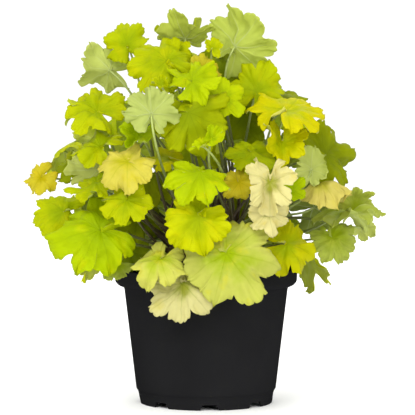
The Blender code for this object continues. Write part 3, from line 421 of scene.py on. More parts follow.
class HeucheraLeaves(PropertyGroup):
    columns: IntProperty(name="Columns", description="Facets along a lobe's edge", default=30, min=10)
    rings: IntProperty(name="Rings", description="Facets from stalk to edge", default=16, min=6)
    thickness: FloatProperty(
        name="Thickness", description="Thickness at the blade's middle", default=0.00042, unit="LENGTH"
    )
    passing: FloatProperty(
        name="Light passed", description="Share of light that passes through", default=0.45, min=0, max=1
    )
    hairs: IntProperty(name="Hairs", description="Hairs on each leaf stalk", default=60, min=0)
    lime: colour_property("Lime", "#c4ca1e", "Edge colour of lime leaves")
    golden: colour_property("Golden lime", "#ccc81c", "Edge colour of golden lime leaves")
    edged: colour_property("Yellow edge", "#cbcd68", "Edge colour of yellow edged lime leaves")
    bright: colour_property("Bright lime", "#bacb24", "Edge colour of bright lime leaves")
    yellow: colour_property("Yellow", "#ded062", "Edge colour of yellow leaves")
    cream: colour_property("Cream", "#e4dc9e", "Edge colour of cream leaves")
    peach: colour_property("Peach", "#cfc66c", "Edge colour of peach leaves")
    # Painted shade: the olive edge colour is darkened for leaves that stand in the mound's shade.
    olive: colour_property("Olive", "#95a018", "Edge colour of shaded leaves")
    mid: colour_property("Mid green", "#a7b310", "Edge colour of mid green leaves")
    grey: colour_property("Grey green", "#b2ba56", "Edge colour of leaves that show their underside")
    orange: colour_property("Orange yellow", "#d4c744", "Edge colour of orange yellow leaves")


class HeucheraStage(PropertyGroup):
    key: FloatProperty(name="Key light", description="Power of the large light", default=37.0, unit="POWER")
    fill: FloatProperty(name="Fill light", description="Power of the side light", default=20.0, unit="POWER")
    rim: FloatProperty(name="Back light", description="Power of the rear light", default=16.0, unit="POWER")
    sky: FloatProperty(name="Surround", description="Brightness of the white surround", default=1.13)
    lens: FloatProperty(name="Lens", description="Focal length in millimetres", default=265.0)


def unit(vector):
    return vector / np.linalg.norm(vector)


def on_sight_line(across, up, depth):
    """The point at this depth that is seen at (across, up) of the upright plane through the axis."""
    seen = np.array((across, 0.0, up))
    return EYE + (seen - EYE) * (depth - EYE[1]) / -EYE[1]


def facing(turn, lift):
    """The way a leaf's upper side faces, turned from the viewer to the right and lifted."""
    turn, lift = math.radians(turn), math.radians(lift)
    level = math.cos(lift)
    return np.array((math.sin(turn) * level, -math.cos(turn) * level, math.sin(lift)))


def tip_direction(normal, clock):
    """Along the blade, so that it is seen to point at clock."""
    clock = math.radians(clock)
    seen = np.array((math.sin(clock), 0.0, math.cos(clock)))
    sight = np.array((0.0, -1.0, 0.0))
    open_share = sight @ normal
    if abs(open_share) < LEAST_OPEN:
        open_share = math.copysign(LEAST_OPEN, open_share)
    along = seen - sight * (seen @ normal) / open_share
    return unit(along - normal * (along @ normal))


def mound_front(across, up):
    """How far in front of the axis the mound's surface is seen there, as a place along y."""
    left = 1 - (across / MOUND_HALF_WIDTH) ** 2 - ((up - MOUND_MIDDLE) / MOUND_HALF_HEIGHT) ** 2
    return -MOUND_HALF_DEPTH * math.sqrt(max(left, 0.0))


def leaves_seen():
    """The leaves of ROWS, in their order."""
    made = []
    shared = {row.name for row in ROWS if sum(other.name == row.name for other in ROWS) > 1}
    for number, row in enumerate(ROWS):
        normal = facing(row.turn, row.lift)
        point = on_sight_line(row.across, row.up, mound_front(row.across, row.up) + row.behind)
        tip = tip_direction(normal, row.clock)
        slide = unit(point - EYE)
        name = "leaf_" + row.name
        group = name if row.name in shared else None
        twin = sum(other.name == row.name for other in ROWS[:number])
        look = (row.reach, row.habit, row.tint, number)
        made.append(Leaf(name, point, normal, tip, *look, slide, group, twin))
    return made


def lobe_table(leaf):
    """Angles, reaches and end radii of the lobes, from the left of the stalk round to its right,
    and the depths of the slits between them."""
    draw = np.random.default_rng(LOBE_SEEDS + leaf.seed)
    rows = LOBES[HABITS[leaf.habit].lobes]
    around = [(-a, reach, end) for a, reach, end in rows[:0:-1]] + list(rows)
    table = np.array(around, float)
    table[:, 0] += draw.uniform(-4, 4, len(table))
    table[:, 1] *= draw.uniform(0.92, 1.06, len(table))
    table[:, 2] *= draw.uniform(0.92, 1.08, len(table))
    return table, draw.uniform(*SLIT_DEPTH, len(table) - 1)


def edge_reach(angles, table, notches, slits):
    """The outline's distance from the stalk at each angle, as shares of the leaf's length."""
    centre = table[:, 1] - table[:, 2]
    off = np.radians(angles[:, None] - table[None, :, 0])
    inside = table[:, 2] ** 2 - (centre * np.sin(off)) ** 2
    reach = centre * np.cos(off) + np.sqrt(np.maximum(inside, 0.0))
    reach = np.where((inside > 0) & (np.cos(off) > 0), reach, 0.3).max(axis=1)
    for notch, slit in zip(notches[1:-1], slits):
        reach *= 1 - slit * np.exp(-(((angles - notch) / SLIT_ANGLE) ** 2))
    opened = np.clip((180 - np.abs(angles)) / SINUS_ANGLE, 0, 1)
    opened = opened * opened * (3 - 2 * opened)
    return reach * (SINUS_REACH + (1 - SINUS_REACH) * opened)


def chances(leaf):
    """What chance gives a blade: how many waves go round its edge, where they start, each lobe's
    curl, and the draws that are left for its swell."""
    draw = np.random.default_rng(WAVE_SEEDS + leaf.seed)
    waves = draw.integers(3, 6)
    starts = draw.uniform(0, 2 * math.pi, 2)
    return waves, starts, draw.uniform(*LOBE_CURL, HABITS[leaf.habit].lobes), draw


def blade_points(leaf, steps, shares):
    """Points of the blade's middle surface: steps are places round the rim, in lobes from the left
    of the stalk, and shares are how far out each lies between stalk and rim."""
    habit = HABITS[leaf.habit]
    waves, swing, curls, draw = chances(leaf)
    table, slits = lobe_table(leaf)
    angles_of_lobes = table[:, 0]
    between = (angles_of_lobes[1:] + angles_of_lobes[:-1]) / 2
    notches = np.concatenate(((-180.0,), between, (180.0,)))
    lobe = np.minimum(steps.astype(int), len(table) - 1)
    part = steps - lobe
    angles = notches[lobe] + (notches[lobe + 1] - notches[lobe]) * part
    edge = edge_reach(angles, table, notches, slits)
    edge *= 1 + TOOTH * (np.abs(np.cos(math.pi * TEETH_A_LOBE * (part - 0.5))) - 0.5)
    away = edge * shares
    x, y = away * np.sin(np.radians(angles)), away * np.cos(np.radians(angles))
    turn = 2 * math.pi * steps / len(table)
    wave = np.sin(waves * turn + swing[0]) + 0.6 * np.sin((waves + 3) * turn + swing[1])
    z = habit.cup * away**2
    z = z - habit.pleat * shares * np.cos(2 * math.pi * (part - 0.5)) / 2
    z = z + habit.ruffle * away * shares * wave
    z = z + curls[lobe] * away * shares**2 * np.cos(math.pi * (part - 0.5)) ** 2
    z = z + SWELL * swell(draw, x, y)
    return bend(habit, x, y, z) * leaf.reach


def swell(draw, x, y):
    """A soft unevenness of the whole blade."""
    height = 0
    for length in (1.3, 0.8, 0.5):
        turn, start = draw.uniform(0, 2 * math.pi, 2)
        along = (x * math.cos(turn) + y * math.sin(turn)) / length
        height = height + length * np.sin(2 * math.pi * along + start)
    return height


def bend(habit, x, y, z):
    """The blade folded along its midrib, then rolled across it and bent along it."""
    fold = math.radians(habit.fold)
    lean = fold * np.tanh(x / MIDRIB_SPREAD)
    flat = x * math.cos(fold) + MIDRIB_SPREAD * (1 - math.cos(fold)) * np.tanh(x / MIDRIB_SPREAD)
    raised = MIDRIB_SPREAD * math.sin(fold) * np.log(np.cosh(x / MIDRIB_SPREAD))
    x, z = flat - z * np.sin(lean), raised + z * np.cos(lean)
    x, z = arc(x, z, habit.roll)
    curve = np.where(y > 0, habit.droop, habit.back)
    y, z = arc(y, z, curve)
    return np.stack((x, y, z), axis=-1)


def arc(along, above, curve):
    """Bends a line that lies along, with above over it, downwards by curve radians a unit."""
    curve = np.where(np.abs(curve) < 1e-6, 1e-6, curve)
    angle = along * curve
    return (
        np.sin(angle) / curve + above * np.sin(angle),
        (np.cos(angle) - 1) / curve + above * np.cos(angle),
    )


def in_place(leaf, points):
    """Points of a blade that lies flat at the origin, moved to where the leaf stands."""
    side = np.cross(leaf.tip, leaf.normal)
    axes = np.stack((side, leaf.tip, leaf.normal))
    return points @ axes + leaf.point


def steps_a_lobe(leaf):
    if HABITS[leaf.habit].lobes == 5:
        return 3
    return 5 if leaf.reach > 40 else 4


def blade_net(leaf):
    """The blade as few triangles: the stalk's end, a ring with a point on each lobe's vein, and
    the rim."""
    lobes = HABITS[leaf.habit].lobes
    each = steps_a_lobe(leaf)
    rim = lobes * each
    steps = np.concatenate(((lobes / 2,), np.arange(lobes) + 0.5, np.arange(rim) / each))
    shares = np.concatenate(((0.0,), np.full(lobes, INNER_RING), np.ones(rim)))
    faces = []
    for i in range(lobes):
        vein, next_vein = 1 + i, 1 + (i + 1) % lobes
        edge = [1 + lobes + (i * each + k) % rim for k in range(each + 1)]
        if i == lobes - 1:
            faces += [(0, edge[-1], vein), (0, next_vein, edge[-1])]
        else:
            faces += [(0, next_vein, vein), (vein, next_vein, edge[-1])]
        faces += [(vein, edge[k + 1], edge[k]) for k in range(each)]
    return in_place(leaf, blade_points(leaf, steps, shares)), faces


def thickened(points, faces, half):
    """A closed shell half above and half below an open net of triangles."""
    points = np.asarray(points)
    index = np.array(faces)
    a, b, c = points[index[:, 0]], points[index[:, 1]], points[index[:, 2]]
    normals = np.zeros_like(points)
    for corner in range(3):
        np.add.at(normals, index[:, corner], np.cross(b - a, c - a))
    normals /= np.maximum(np.linalg.norm(normals, axis=1, keepdims=True), 1e-9)
    count = len(points)
    shell = [tuple(f) for f in faces] + [tuple(count + i for i in reversed(f)) for f in faces]
    edges = {(f[k], f[(k + 1) % 3]) for f in faces for k in range(3)}
    for a, b in edges:
        if (b, a) not in edges:
            shell += [(b, a, count + a), (b, count + a, count + b)]
    return np.concatenate((points + normals * half, points - normals * half)), shell


def tube_rings(lines, radii, sides):
    """Rings of points round each of several lines (line, place, xyz)."""
    ahead = np.gradient(lines, axis=1)
    ahead /= np.linalg.norm(ahead, axis=2, keepdims=True)
    across = np.cross(ahead, unit(np.array((0.31, 0.17, 0.93))))
    across /= np.linalg.norm(across, axis=2, keepdims=True)
    other = np.cross(ahead, across)
    around = np.arange(sides) * 2 * math.pi / sides
    spokes = across[:, :, None] * np.cos(around)[:, None] + other[:, :, None] * np.sin(around)[:, None]
    return (lines[:, :, None] + radii[:, None, None] * spokes).reshape(len(lines), -1, 3)


def tube_faces(places, sides):
    faces = []
    for ring in range(places - 1):
        for k in range(sides):
            a, b = ring * sides + k, ring * sides + (k + 1) % sides
            faces += [(a, b, b + sides), (a, b + sides, a + sides)]
    return faces


def tree_of(points, faces):
    return BVHTree.FromPolygons(points.tolist(), faces)


class Thicket:
    """Everything that stands already, each with the room it needs."""

    def __init__(self, wood):
        self.wood = wood
        self.trees = []
        self.groups = []
        self.lows = np.empty((0, 3))
        self.highs = np.empty((0, 3))

    def add(self, points, faces, group=None):
        self.trees.append(tree_of(points, faces))
        self.groups.append(group)
        self.lows = np.vstack((self.lows, points.min(axis=0)))
        self.highs = np.vstack((self.highs, points.max(axis=0)))

    def meets(self, points, faces, group=None):
        low, high = points.min(axis=0), points.max(axis=0)
        near = np.flatnonzero(((self.lows <= high) & (self.highs >= low)).all(axis=1))
        near = [i for i in near if group is None or self.groups[i] != group]
        if not near:
            return False
        tree = tree_of(points, faces)
        return any(tree.overlap(self.trees[i]) for i in near)


def stem_lines():
    """Foot and head of each of the crown's stems: one in the middle and the others round it."""
    lines = []
    for number, height in enumerate(STEM_HEIGHTS):
        turn = math.radians(STEM_STEP * number + STEM_TURN)
        out = np.array((math.cos(turn), math.sin(turn), 0.0)) * (number > 0)
        foot = out * STEM_ROOT_CIRCLE + UP * (SOIL_TOP - 2)
        spread = STEM_ROOT_CIRCLE + math.tan(math.radians(STEM_LEAN)) * (height - foot[2])
        head = out * spread + UP * height
        lines.append((foot, head))
    return lines


def slots(wood):
    """Places on the stems where a leaf stalk can start: (point on the bark, way out)."""
    found = []
    for number, (foot, head) in enumerate(stem_lines()):
        axis = unit(head - foot)
        side = unit(np.cross(axis, (0.2, 1.0, 0.1)))
        other = np.cross(axis, side)
        for slot in range(SLOTS_A_STEM):
            share = LOWEST_SLOT + (HIGHEST_SLOT - LOWEST_SLOT) * slot / (SLOTS_A_STEM - 1)
            turn = slot * GOLDEN_TURN + number
            out = side * math.cos(turn) + other * math.sin(turn)
            if number and out[:2] @ unit(foot[:2]) < FACING_INWARD:
                continue
            centre = foot + (head - foot) * share
            bark = wood.ray_cast(centre + out * STUMP_RADIUS, -out)[0]
            found.append((np.array(bark), out))
    return found


def stalk_lines(leaf, end, slot):
    """Points of the leaf stalk, from the slot on the crown to the blade's underside, once for
    each of the ways it can bend."""
    bark, out = slot
    span = np.linalg.norm(end - bark)
    climb = max((end[2] - bark[2]) / span, 0.0)
    heading = out + UP * (climb * RISE_WITH_CLIMB + BENDS[:, 1:2])
    heading /= np.linalg.norm(heading, axis=1, keepdims=True)
    tilt = np.sqrt(np.maximum(1 - (heading @ out) ** 2, 0.0))[:, None]
    start = bark + out * (FIT_GAP + STALK_RADIUS[0] * CAP_SHARE * tilt)
    start = start + unit(np.cross(out, UP)) * TWIN_STEP * leaf.twin
    along_tip, along_normal, ahead = ARRIVAL
    arriving = unit(leaf.tip * along_tip + leaf.normal * along_normal + unit(end - bark) * ahead)
    aside = np.cross(unit(end - bark), UP)
    first = start + (heading * BENDS[:, 0:1] + aside * BENDS[:, 2:3]) * span
    last = end - arriving * span * ARRIVAL_REACH
    t = np.linspace(0, 1, STALK_POINTS)[:, None]
    start, first = start[:, None], first[:, None]
    return (1 - t) ** 3 * start + 3 * (1 - t) ** 2 * t * first + 3 * (1 - t) * t**2 * last + t**3 * end


def stalk_radii(room):
    """The plain stalk's radii with this much room round it."""
    return np.linspace(STALK_RADIUS[0] + room, STALK_RADIUS[1] + room, STALK_POINTS)


def shortened(lines, first, last):
    """The lines with these lengths taken off their first and last stretches."""
    short = lines.copy()
    ahead, back = lines[:, 1] - lines[:, 0], lines[:, -2] - lines[:, -1]
    short[:, 0] += ahead / np.linalg.norm(ahead, axis=1, keepdims=True) * first
    short[:, -1] += back / np.linalg.norm(back, axis=1, keepdims=True) * last
    return short


def nudged(leaf, nod, roll, size, shift):
    """The leaf tipped by nod degrees on its length, rolled, resized and slid along its line."""
    side = np.cross(leaf.tip, leaf.normal)
    nod, roll = math.radians(nod), math.radians(roll)
    tip = leaf.tip * math.cos(nod) + leaf.normal * math.sin(nod)
    normal = leaf.normal * math.cos(nod) - leaf.tip * math.sin(nod)
    normal = normal * math.cos(roll) + side * math.sin(roll)
    point = leaf.point + leaf.slide * shift
    return leaf._replace(point=point, normal=normal, tip=tip, reach=leaf.reach * size)


def effort(change):
    """How much a nudge changes a leaf. Sliding forward counts more, so that the leaves placed
    first stay in front."""
    nod, roll, size, slide = change
    return (abs(nod) + abs(roll)) * 0.7 + (1 - size) * 90 + max(slide, -3 * slide)


def tries():
    """Ways to nudge a leaf, from the least change to the most."""
    poses = [(0, 0, 1.0), (9, 0, 0.97), (-9, 0, 0.97), (0, 9, 0.97), (0, -9, 0.97), (18, 0, 0.92)]
    poses += [(-18, 0, 0.92), (0, 18, 0.9), (0, -18, 0.9), (12, 12, 0.84), (-12, -12, 0.84), (0, 0, 0.8)]
    slides = (*range(-12, 0, 3), *range(0, 90, 3))
    return sorted([(*pose, slide) for pose in poses for slide in slides], key=effort)


TRIES = tries()
# How far out the stalk leaves the crown, how steeply it rises there and how far it sways aside
BENDS = np.array([
    (handle, rise, sway)
    for sway in (0, 0.12, -0.12, 0.25, -0.25, 0.42, -0.42)
    for handle, rise in ((0.35, 0.1), (0.5, 0.5), (0.25, 0.9), (0.6, 1.2), (0.35, 2.0))
])
TEST_SIDES = 5
STALK_FACES = tube_faces(STALK_POINTS, TEST_SIDES)
ROOT_FACES = tube_faces(2, TEST_SIDES)


def place_leaves(leaves, thicket):
    """Nudges each leaf and picks its slot and stalk, so that nothing meets. A leaf of the far side
    that finds no room doesn't grow."""
    free = slots(thicket.wood)
    bound = {}
    grown = []
    for leaf in leaves:
        found = place_one(leaf, thicket, free, bound)
        if found is not None:
            grown.append(found)
        elif leaf.seed < FAR_SEEDS:
            raise RuntimeError("no room for " + leaf.name)
    return grown


def place_one(leaf, thicket, free, bound):
    """The leaf with its least nudge that fits, and its stalk's line, or None."""
    for change in TRIES:
        moved = nudged(leaf, *change)
        net, faces = blade_net(moved)
        body, shell = thickened(net, faces, BLADE_ROOM)
        if thicket.meets(body, shell):
            continue
        stalk = find_stalk(moved, net[0], tree_of(body, shell), thicket, free, bound)
        if stalk is not None:
            thicket.add(body, shell)
            return moved, stalk
    return None


def find_stalk(leaf, end, own, thicket, free, bound):
    """The first stalk line that clears the crown, the leaf's own blade and everything placed."""
    way = end * (1, 1, 0)
    way = way / max(np.linalg.norm(way), 1.0)
    wanted = SOIL_TOP + SLOT_HEIGHT + (end[2] - SOIL_TOP) * SLOT_RISE
    if leaf.group in bound:
        choices = [bound[leaf.group]]
    else:
        choices = sorted(free, key=lambda s: abs(s[0][2] - wanted) * 0.02 - (s[1] + s[0] * 0.03) @ way)
    for slot in choices[:SLOTS_TRIED]:
        lines = stalk_lines(leaf, end, slot)
        roots = tube_rings(lines[:, :2], stalk_radii(TIGHT_ROOM)[:2], TEST_SIDES)
        necks = tube_rings(shortened(lines, *CUT_FOR_OWN), stalk_radii(TIGHT_ROOM), TEST_SIDES)
        tubes = tube_rings(shortened(lines, *CUT_FOR_OTHERS), stalk_radii(STALK_ROOM), TEST_SIDES)
        for line, root, neck, tube in zip(lines, roots, necks, tubes):
            if thicket.wood.overlap(tree_of(root, ROOT_FACES)) or own.overlap(tree_of(neck, STALK_FACES)):
                continue
            if thicket.meets(tube, STALK_FACES, leaf.group):
                continue
            thicket.add(tube, STALK_FACES, leaf.group or leaf.name)
            if leaf.group is not None:
                bound[leaf.group] = slot
            free[:] = [s for s in free if s is not slot]
            return line
    return None


def leaves_behind():
    """Leaves of the plant's far side, which the photograph's view hides: rings of them round the
    mound, each facing out and up, two or three to a shoot."""
    draw = np.random.default_rng(BACK_SEED)
    made = []
    for height, count, away, lift, reach, habit, tint in BACK_RINGS:
        for number in range(count):
            turn = BACK_FROM + (BACK_TO - BACK_FROM) * (number + 0.5) / count + draw.uniform(-5, 5)
            out = np.array((math.cos(math.radians(turn)), math.sin(math.radians(turn)), 0.0))
            tilt = math.radians(lift + draw.uniform(-8, 8))
            normal = out * math.cos(tilt) + UP * math.sin(tilt)
            tip = out * math.sin(tilt) - UP * math.cos(tilt)
            tip = tip + np.cross(UP, out) * draw.uniform(-0.5, 0.5)
            tip = unit(tip - normal * (tip @ normal))
            point = out * (away + draw.uniform(-6, 6)) + UP * (height + draw.uniform(-6, 6))
            shoot = "leaf_back_%d" % (len(made) // LEAVES_A_SHOOT + 1)
            look = (reach * draw.uniform(0.88, 1.08), habit, tint, FAR_SEEDS + len(made))
            twin = len(made) % LEAVES_A_SHOOT
            made.append(Leaf(shoot, point, normal, tip, *look, out, shoot, twin))
    return made


def obstacles(wood):
    """Pot, soil and crown stems as simple shapes for the leaves to keep clear of."""
    thicket = Thicket(wood)
    profile = [
        (RIM_RADIUS - 2.8, SOIL_TOP + SOIL_HEAP),
        (RIM_RADIUS - 2.5, RIM_TOP + 1.0),
        (RIM_RADIUS - 0.6, RIM_TOP + 1.5),
        (RIM_RADIUS + 1.2, RIM_TOP),
        (RIM_RADIUS + 1.2, BAND_BOTTOM),
        (NECK_RADIUS + 1.2, NECK_HEIGHT - 1),
        (FOOT_SHOULDER_RADIUS + 1.2, FOOT_SHOULDER_HEIGHT),
    ]
    turns = np.arange(POT_SIDES) * 2 * math.pi / POT_SIDES
    points = [(r * math.cos(turn), r * math.sin(turn), height) for r, height in profile for turn in turns]
    faces = tube_faces(len(profile), POT_SIDES)
    middle = len(points)
    points.append((0, 0, SOIL_TOP + SOIL_HEAP + 1))
    faces += [(middle, k, (k + 1) % POT_SIDES) for k in range(POT_SIDES)]
    thicket.add(np.array(points, float), faces)
    for low, high in stem_lines():
        line = np.array([low + (high - low) * t for t in (0.15, 0.6, 1.0)])
        radii = np.linspace(*STEM_RADIUS, 3) + STALK_ROOM * 0.5
        thicket.add(tube_rings(line[None], radii, 8)[0], tube_faces(3, 8))
    return thicket


def add(tree, kind, links=None, **settings):
    """A new shader node with its settings, and its inputs linked or set."""
    node = tree.nodes.new("ShaderNode" + kind)
    for name, value in settings.items():
        setattr(node, name, value)
    for socket, source in (links or {}).items():
        if isinstance(source, bpy.types.NodeSocket):
            tree.links.new(source, node.inputs[socket])
        else:
            node.inputs[socket].default_value = source
    return node


def new_material(name):
    """A material with an empty node tree: (material, tree)."""
    made = bpy.data.materials.new(name)
    made.use_nodes = True
    made.node_tree.nodes.clear()
    return made, made.node_tree


def surfaced(made, shader):
    """The material, once this shader is on its surface."""
    add(made.node_tree, "OutputMaterial", {"Surface": shader.outputs[0]})
    return made


def opaque(colour):
    return (*tuple(colour), 1.0)


def darkened(colour, share):
    """The colour times this share, which may be over 1."""
    return opaque([part * share for part in colour])


def every(*sizes):
    """The scale, in whole repeats a metre, of a pattern that repeats once in so many millimetres.
    Three sizes give one scale for each axis."""
    scales = [round(1 / (size * MM)) for size in sizes]
    return scales[0] if len(scales) == 1 else scales


def polypropylene(settings):
    """Moulded polypropylene, dyed black: satin, with the mould's fine grain and faint flow lines
    round the wall. It mirrors nothing, because the white surround would turn its edges grey, which
    the photograph doesn't show."""
    made, tree = new_material("black polypropylene, moulded")
    where = add(tree, "TexCoord").outputs["Object"]
    grain = add(tree, "TexNoise", {"Vector": where, "Scale": 1 / settings.grain, "Detail": 4.0})
    flow_place = add(tree, "Mapping", {"Vector": where, "Scale": every(111.1, 111.1, 8.333)})
    flow = add(tree, "TexNoise", {"Vector": flow_place.outputs[0], "Scale": 1.0, "Detail": 3.0})
    haze = add(tree, "TexNoise", {"Vector": where, "Scale": every(62.5), "Detail": 5.0})
    tone = add(tree, "Mix", {
        0: haze.outputs["Fac"], 6: opaque(settings.colour), 7: darkened(settings.colour, 1.9),
    }, data_type="RGBA")
    rough = add(tree, "MapRange", {
        "Value": flow.outputs["Fac"], "From Min": 0.3, "From Max": 0.7,
        "To Min": settings.roughness - 0.05, "To Max": settings.roughness + 0.09,
    })
    bump = add(tree, "Bump", {"Height": grain.outputs["Fac"], "Strength": 0.12, "Distance": 0.3 * MM})
    return surfaced(made, add(tree, "BsdfPrincipled", {
        "Base Color": tone.outputs[2], "Roughness": rough.outputs[0], "IOR": 1.49,
        "Specular IOR Level": 0.0, "Normal": bump.outputs[0],
    }))


def peat(settings):
    """Moist sphagnum peat: nearly black brown, rough, with paler dry fibres a millimetre or two
    across."""
    made, tree = new_material("peat, moist")
    where = add(tree, "TexCoord").outputs["Object"]
    clump = add(tree, "TexNoise", {
        "Vector": where, "Scale": every(6.25), "Detail": 6.0, "Roughness": 0.65,
    }).outputs["Fac"]
    fibre = add(tree, "TexVoronoi", {"Vector": where, "Scale": every(1.613)}).outputs["Distance"]
    share = add(tree, "MapRange", {"Value": clump, "From Min": 0.46, "From Max": 0.72})
    colour = add(tree, "Mix", {
        0: share.outputs[0], 6: opaque(settings.colour), 7: opaque(settings.dry),
    }, data_type="RGBA")
    height = add(tree, "Math", {0: clump, 1: fibre}, operation="MULTIPLY")
    bump = add(tree, "Bump", {"Height": height.outputs[0], "Strength": 0.7, "Distance": 1.2 * MM})
    return surfaced(made, add(tree, "BsdfPrincipled", {
        "Base Color": colour.outputs[2], "Roughness": 0.94, "Specular IOR Level": 0.2,
        "Normal": bump.outputs[0],
    }))


def perlite(settings):
    """Expanded perlite: matt off-white foam glass, pitted at half a millimetre."""
    made, tree = new_material("perlite, expanded")
    where = add(tree, "TexCoord").outputs["Object"]
    pits = add(tree, "TexVoronoi", {"Vector": where, "Scale": every(0.5556)}).outputs["Distance"]
    bump = add(tree, "Bump", {"Height": pits, "Strength": 0.5, "Distance": 0.4 * MM})
    return surfaced(made, add(tree, "BsdfPrincipled", {
        "Base Color": opaque(settings.perlite), "Roughness": 0.9, "Normal": bump.outputs[0],
    }))


def bark(settings):
    """Corky stem bark: ringed by old leaf scars, with lengthwise cracks a millimetre apart."""
    made, tree = new_material("stem bark, corky")
    where = add(tree, "TexCoord").outputs["Object"]
    cracks_place = add(tree, "Mapping", {"Vector": where, "Scale": every(1.111, 1.111, 3.846)})
    cracks = add(tree, "TexNoise", {"Vector": cracks_place.outputs[0], "Scale": 1.0, "Detail": 5.0})
    patches = add(tree, "TexNoise", {"Vector": where, "Scale": every(5.263), "Detail": 3.0})
    colour = add(tree, "Mix", {
        0: patches.outputs["Fac"], 6: darkened(settings.bark, 0.35), 7: opaque(settings.bark),
    }, data_type="RGBA")
    bump = add(tree, "Bump", {"Height": cracks.outputs["Fac"], "Strength": 0.8, "Distance": 0.8 * MM})
    return surfaced(made, add(tree, "BsdfPrincipled", {
        "Base Color": colour.outputs[2], "Roughness": 0.88, "Normal": bump.outputs[0],
    }))


def thin(tree, share, shader, **inputs):
    """The finish of a thin thing: the shader, with this share of the light passing through."""
    through = add(tree, "BsdfTranslucent", inputs)
    return add(tree, "MixShader", {0: share, 1: shader.outputs[0], 2: through.outputs[0]})


def dry_sheath(settings):
    """Dry leaf base: papery, streaked along its length, and a little light passes through."""
    made, tree = new_material("leaf sheath, dry")
    where = add(tree, "TexCoord").outputs["Object"]
    streak_place = add(tree, "Mapping", {"Vector": where, "Scale": every(0.7143, 0.7143, 8.333)})
    streaks = add(tree, "TexNoise", {"Vector": streak_place.outputs[0], "Scale": 1.0, "Detail": 2.0})
    colour = add(tree, "Mix", {
        0: streaks.outputs["Fac"], 6: darkened(settings.sheath, 0.4), 7: opaque(settings.sheath),
    }, data_type="RGBA").outputs[2]
    shader = add(tree, "BsdfPrincipled", {"Base Color": colour, "Roughness": 0.72})
    return surfaced(made, thin(tree, 0.2, shader, Color=colour))


def leaf_place(tree):
    """What the mesh tells its finish: across the lobe, out from the stalk or along it, and the
    leaf's own tone."""
    place = add(tree, "Attribute", attribute_name="place")
    return add(tree, "SeparateXYZ", {0: place.outputs["Vector"]}).outputs


def veins(tree, across, out):
    """Masks of a lobe's main vein and of its side veins, each 1 on the vein."""
    away = add(tree, "Math", {0: across}, operation="ABSOLUTE").outputs[0]
    aside = add(tree, "Math", {0: away, 1: out}, operation="MULTIPLY").outputs[0]
    main = add(tree, "MapRange", {
        "Value": aside, "From Min": 0.005, "From Max": 0.05, "To Min": 1.0, "To Max": 0.0,
    }, interpolation_type="SMOOTHSTEP").outputs[0]
    slant = {0: away, 1: -SIDE_VEIN_SLANT, 2: out}
    along = add(tree, "Math", slant, operation="MULTIPLY_ADD").outputs[0]
    gap = add(tree, "Math", {0: along, 1: 0.5 / SIDE_VEINS}, operation="PINGPONG").outputs[0]
    side = add(tree, "MapRange", {
        "Value": gap, "From Min": 0.002, "From Max": 0.022, "To Min": 1.0, "To Max": 0.0,
    }, interpolation_type="SMOOTHSTEP").outputs[0]
    shown = add(tree, "MapRange", {"Value": out, "From Min": 0.12, "From Max": 0.35}).outputs[0]
    return main, add(tree, "Math", {0: side, 1: shown}, operation="MULTIPLY").outputs[0]


def blade_skin(name, edge, tint, passing, vein_relief):
    """Living leaf: a thin waxy skin over tissue that passes light. The blade is greener near the
    stalk and along its veins, and clouded with paler patches a centimetre or so across."""
    made, tree = new_material(name)
    across, out, tone = leaf_place(tree)
    main, side = veins(tree, across, out)
    where = add(tree, "TexCoord").outputs["Object"]
    cloud = add(tree, "TexNoise", {
        "Vector": where, "Scale": every(13.333), "Detail": 3.0,
    }).outputs["Fac"]
    speck = add(tree, "TexNoise", {"Vector": where, "Scale": every(1.111), "Detail": 4.0}).outputs["Fac"]
    drift = add(tree, "Math", {0: cloud, 1: 0.9, 2: out}, operation="MULTIPLY_ADD").outputs[0]
    outward = add(tree, "MapRange", {
        "Value": drift, "From Min": 0.45, "From Max": tint.spread,
    }, interpolation_type="SMOOTHSTEP").outputs[0]
    ground = add(tree, "Mix", {
        0: outward, 6: opaque(linear(tint.centre)), 7: opaque(edge),
    }, data_type="RGBA").outputs[2]
    warm = add(tree, "MapRange", {
        "Value": cloud, "From Min": 0.56, "From Max": 0.74, "To Max": 0.6,
    }).outputs[0]
    ground = add(tree, "Mix", {
        0: warm, 6: ground, 7: opaque(linear(tint.glow)),
    }, data_type="RGBA").outputs[2]
    lines = add(tree, "Math", {0: side, 1: 0.14, 2: main}, operation="MULTIPLY_ADD").outputs[0]
    fade = add(tree, "MapRange", {
        "Value": out, "From Min": 0.1, "From Max": 1.0, "To Min": 0.38, "To Max": 0.08,
    }).outputs[0]
    drawn = add(tree, "Math", {0: lines, 1: fade}, operation="MULTIPLY", use_clamp=True).outputs[0]
    ground = add(tree, "Mix", {
        0: drawn, 6: ground, 7: opaque(linear(tint.vein)),
    }, data_type="RGBA").outputs[2]
    bright, hue = (
        add(tree, "MapRange", {"Value": tone, "From Min": -1.0, "To Min": low, "To Max": high}).outputs[0]
        for low, high in (TONE_VALUES, TONE_HUES)
    )
    colour = add(tree, "HueSaturation", {
        "Hue": hue, "Saturation": 1.05, "Value": bright, "Color": ground,
    }).outputs[0]
    rough = add(tree, "MapRange", {"Value": speck, "To Min": 0.46, "To Max": 0.66}).outputs[0]
    relief = add(tree, "Math", {0: side, 1: vein_relief, 2: speck}, operation="MULTIPLY_ADD").outputs[0]
    bump = add(tree, "Bump", {"Height": relief, "Strength": 0.35, "Distance": 0.4 * MM}).outputs[0]
    shader = add(tree, "BsdfPrincipled", {
        "Base Color": colour, "Roughness": rough, "Specular IOR Level": 0.07, "Normal": bump,
    })
    return surfaced(made, thin(tree, passing, shader, Color=colour, Normal=bump))


